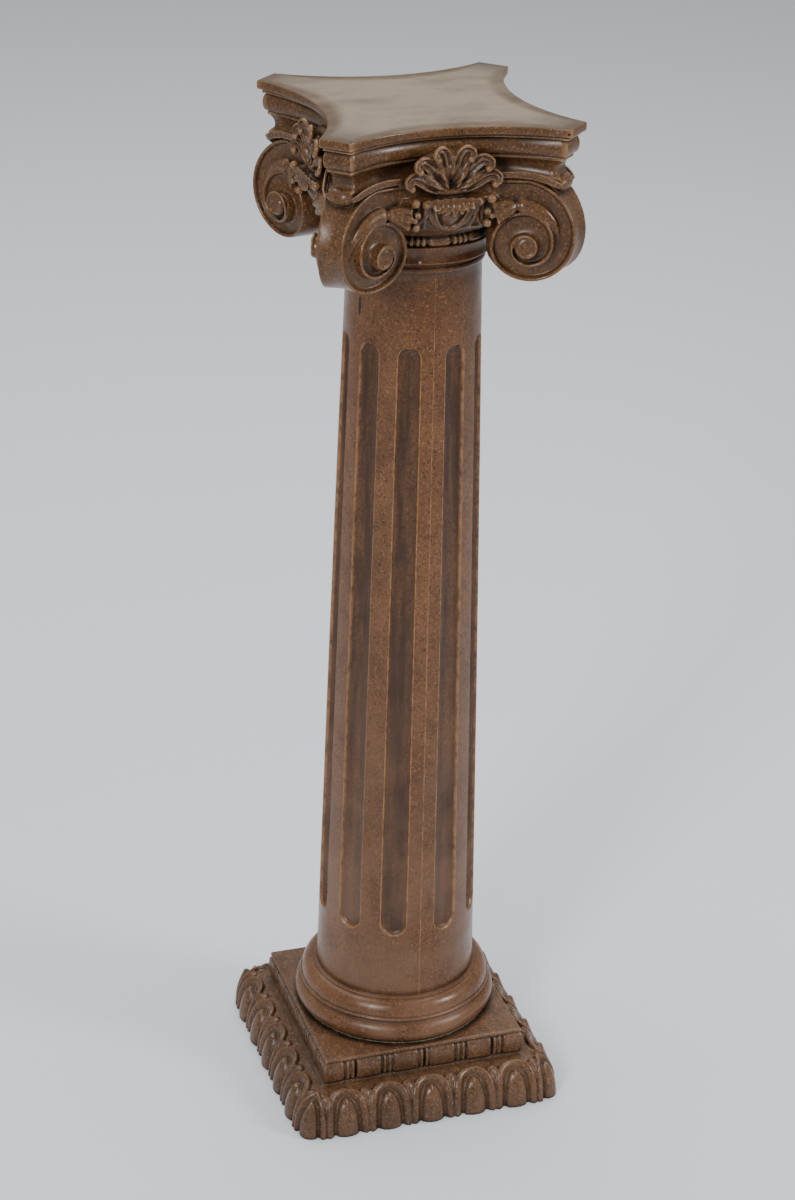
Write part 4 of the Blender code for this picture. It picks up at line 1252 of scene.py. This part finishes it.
def stained_flutes(n, colour):
    """Dark streaky stain in the flutes, and a pale worn line along their edges and the mould seam."""
    runs = n.ramp(n.noise(1.5, 5.0, 0.6, (60.0, 60.0, 7.0)), 0.3, 0.66, 0.3, 0.95)
    stain = n.times(n.ramp(n.attribute("hollow"), 0.2, 0.9), runs)
    colour = n.mix(stain, colour, (0.028, 0.0115, 0.0045))
    low = n.times(n.ramp(n.height(), 0.6, 0.14, 0.0, 0.5), n.ramp(n.noise(14.0, 5.0), 0.35, 0.65))
    colour = n.mix(low, colour, (0.165, 0.088, 0.052))
    colour = marks(n, colour, DRIP, (0.008, 0.004, 0.002))
    colour = marks(n, colour, CHIP, (0.45, 0.36, 0.24))
    breaks = n.ramp(n.noise(90.0), 0.35, 0.6, 0.15, 0.85)
    worn = n.times(n.ramp(n.attribute("pale"), 0.15, 0.9, 0.0, 0.75), breaks)
    return n.mix(worn, colour, (0.31, 0.165, 0.08)), None


def dusty_top(n, colour):
    """The flat top of the abacus: greyish beige, with smoky streaks and browner edges."""
    flat = n.ramp(n.height(), TOP - 0.0008, TOP - 0.0002)
    smoke = n.ramp(n.noise(1.6, 7.0, 0.62, (9.0, 16.0, 9.0)), 0.42, 0.7, 0.0, 0.65)
    beige = n.mix(smoke, (0.19, 0.154, 0.113), (0.092, 0.071, 0.05))
    specks = n.ramp(n.noise(300.0, 2.0), 0.58, 0.7, 0.0, 0.35)
    beige = n.mix(specks, beige, (0.12, 0.09, 0.06))
    reach = n.node("ShaderNodeVectorMath", {0: n.where}, "Value", operation="LENGTH")
    beige = n.mix(n.ramp(reach, 1.004, 1.011, 0.0, 0.85), beige, (0.082, 0.063, 0.047))
    margin = n.ramp(n.attribute("margin"), 0.0, 1.0, 0.0, 0.95)
    wipes = n.ramp(n.noise(24.0, 5.0), 0.3, 0.62, 0.45, 1.0)
    beige = n.mix(n.times(margin, wipes), beige, (0.07, 0.044, 0.025))
    return marks(n, n.mix(flat, colour, beige), PITS, (0.006, 0.004, 0.003)), flat


def plain(name, colour, roughness):
    material = bpy.data.materials.new(name)
    n = Nodes(material)
    tint = n.mix(n.noise(2.0), colour, darker(colour, 0.985))
    n.feed(n.shader, {"Base Color": tint, "Roughness": roughness})
    return material


# Studio


def make_camera():
    back = Vector((
        math.sin(CAMERA_AZIMUTH) * math.cos(CAMERA_ELEVATION),
        -math.cos(CAMERA_AZIMUTH) * math.cos(CAMERA_ELEVATION),
        math.sin(CAMERA_ELEVATION),
    ))
    right = Vector((0.0, 0.0, 1.0)).cross(back).normalized()
    up = back.cross(right)
    right_turned = right * math.cos(CAMERA_ROLL) + up * math.sin(CAMERA_ROLL)
    up_turned = up * math.cos(CAMERA_ROLL) - right * math.sin(CAMERA_ROLL)
    data = bpy.data.cameras.new("camera")
    data.sensor_fit = "VERTICAL"
    data.sensor_height = SENSOR
    data.lens = LENS
    data.shift_x = SHIFT_X
    data.shift_y = SHIFT_Y
    camera = bpy.data.objects.new("camera", data)
    turn = Matrix((right_turned, up_turned, back)).transposed().to_4x4()
    place = Vector((0.0, 0.0, CAMERA_AIM_Z)) + back * CAMERA_DISTANCE
    camera.matrix_world = Matrix.Translation(place) @ turn
    bpy.context.scene.collection.objects.link(camera)
    bpy.context.scene.camera = camera


def make_light(name, place, aim, size, power, colour=(1.0, 1.0, 1.0)):
    data = bpy.data.lights.new(name, "AREA")
    data.shape = "RECTANGLE"
    data.size, data.size_y = size
    data.energy = power
    data.color = colour
    light = bpy.data.objects.new(name, data)
    light.location = place
    light.rotation_euler = (Vector(aim) - Vector(place)).to_track_quat("-Z", "Y").to_euler()
    bpy.context.scene.collection.objects.link(light)


def make_studio():
    floor = bpy.data.meshes.new("floor")
    corners = [(x * FLOOR_HALF, y * FLOOR_HALF, 0.0) for x, y in ((-1, -1), (1, -1), (1, 1), (-1, 1))]
    floor.from_pydata(corners, [], [(0, 1, 2, 3)])
    stage = bpy.data.objects.new("floor", floor)
    floor.materials.append(plain("floor_paper", (0.585, 0.62, 0.665), 0.9))
    bpy.context.scene.collection.objects.link(stage)
    make_light("left_softbox", (-1.8, -1.9, 1.9), (0.0, 0.0, 0.5), (0.55, 0.9), 58.0)
    make_light("right_softbox", (2.0, -1.5, 1.8), (0.0, 0.0, 0.5), (0.55, 0.9), 44.0)
    make_light("top_softbox", (0.1, 1.3, 3.5), (0.0, 0.9, 0.3), (3.2, 3.2), 125.0)
    world = bpy.data.worlds.new("studio")
    bpy.context.scene.world = world
    world.use_nodes = True
    background = world.node_tree.nodes["Background"]
    background.inputs["Color"].default_value = (1.0, 0.965, 0.91, 1.0)
    background.inputs["Strength"].default_value = 0.6


make_camera()
make_studio()
# Each resin: body, warm, worn-edge and dirt-with-painted-shade colours, then the edge amount and the
# dirt-and-shade amount
shaft_paint = resin(
    "shaft_resin", (0.094, 0.037, 0.013), (0.134, 0.058, 0.022), (0.31, 0.165, 0.08), (0.014, 0.007, 0.003),
    0.55, 0.85, stained_flutes,
)
plinth_paint = resin(
    "plinth_resin", (0.078, 0.037, 0.017), (0.122, 0.06, 0.03), (0.33, 0.195, 0.11), (0.01, 0.006, 0.0035),
    0.75, 1.0,
)
capital_paint = resin(
    "capital_resin", (0.074, 0.032, 0.0115), (0.11, 0.05, 0.019), (0.33, 0.18, 0.082), (0.01, 0.006, 0.004),
    0.8, 1.0, dusty_top,
)
glue_paint = resin(
    "old_glue", (0.16, 0.13, 0.085), (0.24, 0.2, 0.145), (0.36, 0.31, 0.23), (0.03, 0.022, 0.014),
    0.5, 0.4,
)
piece(shaft_mesh(), "shaft_casting", "shaft", shaft_paint)
piece(plinth_mesh(), "plinth_casting", "plinth", plinth_paint)
piece(capital_mesh(), "capital_casting", "capital", capital_paint)
glue = Shape()
glue.add(*glue_line())
piece(glue.mesh("glue"), "glue_line", None, glue_paint)

bpy.context.view_layer.update()
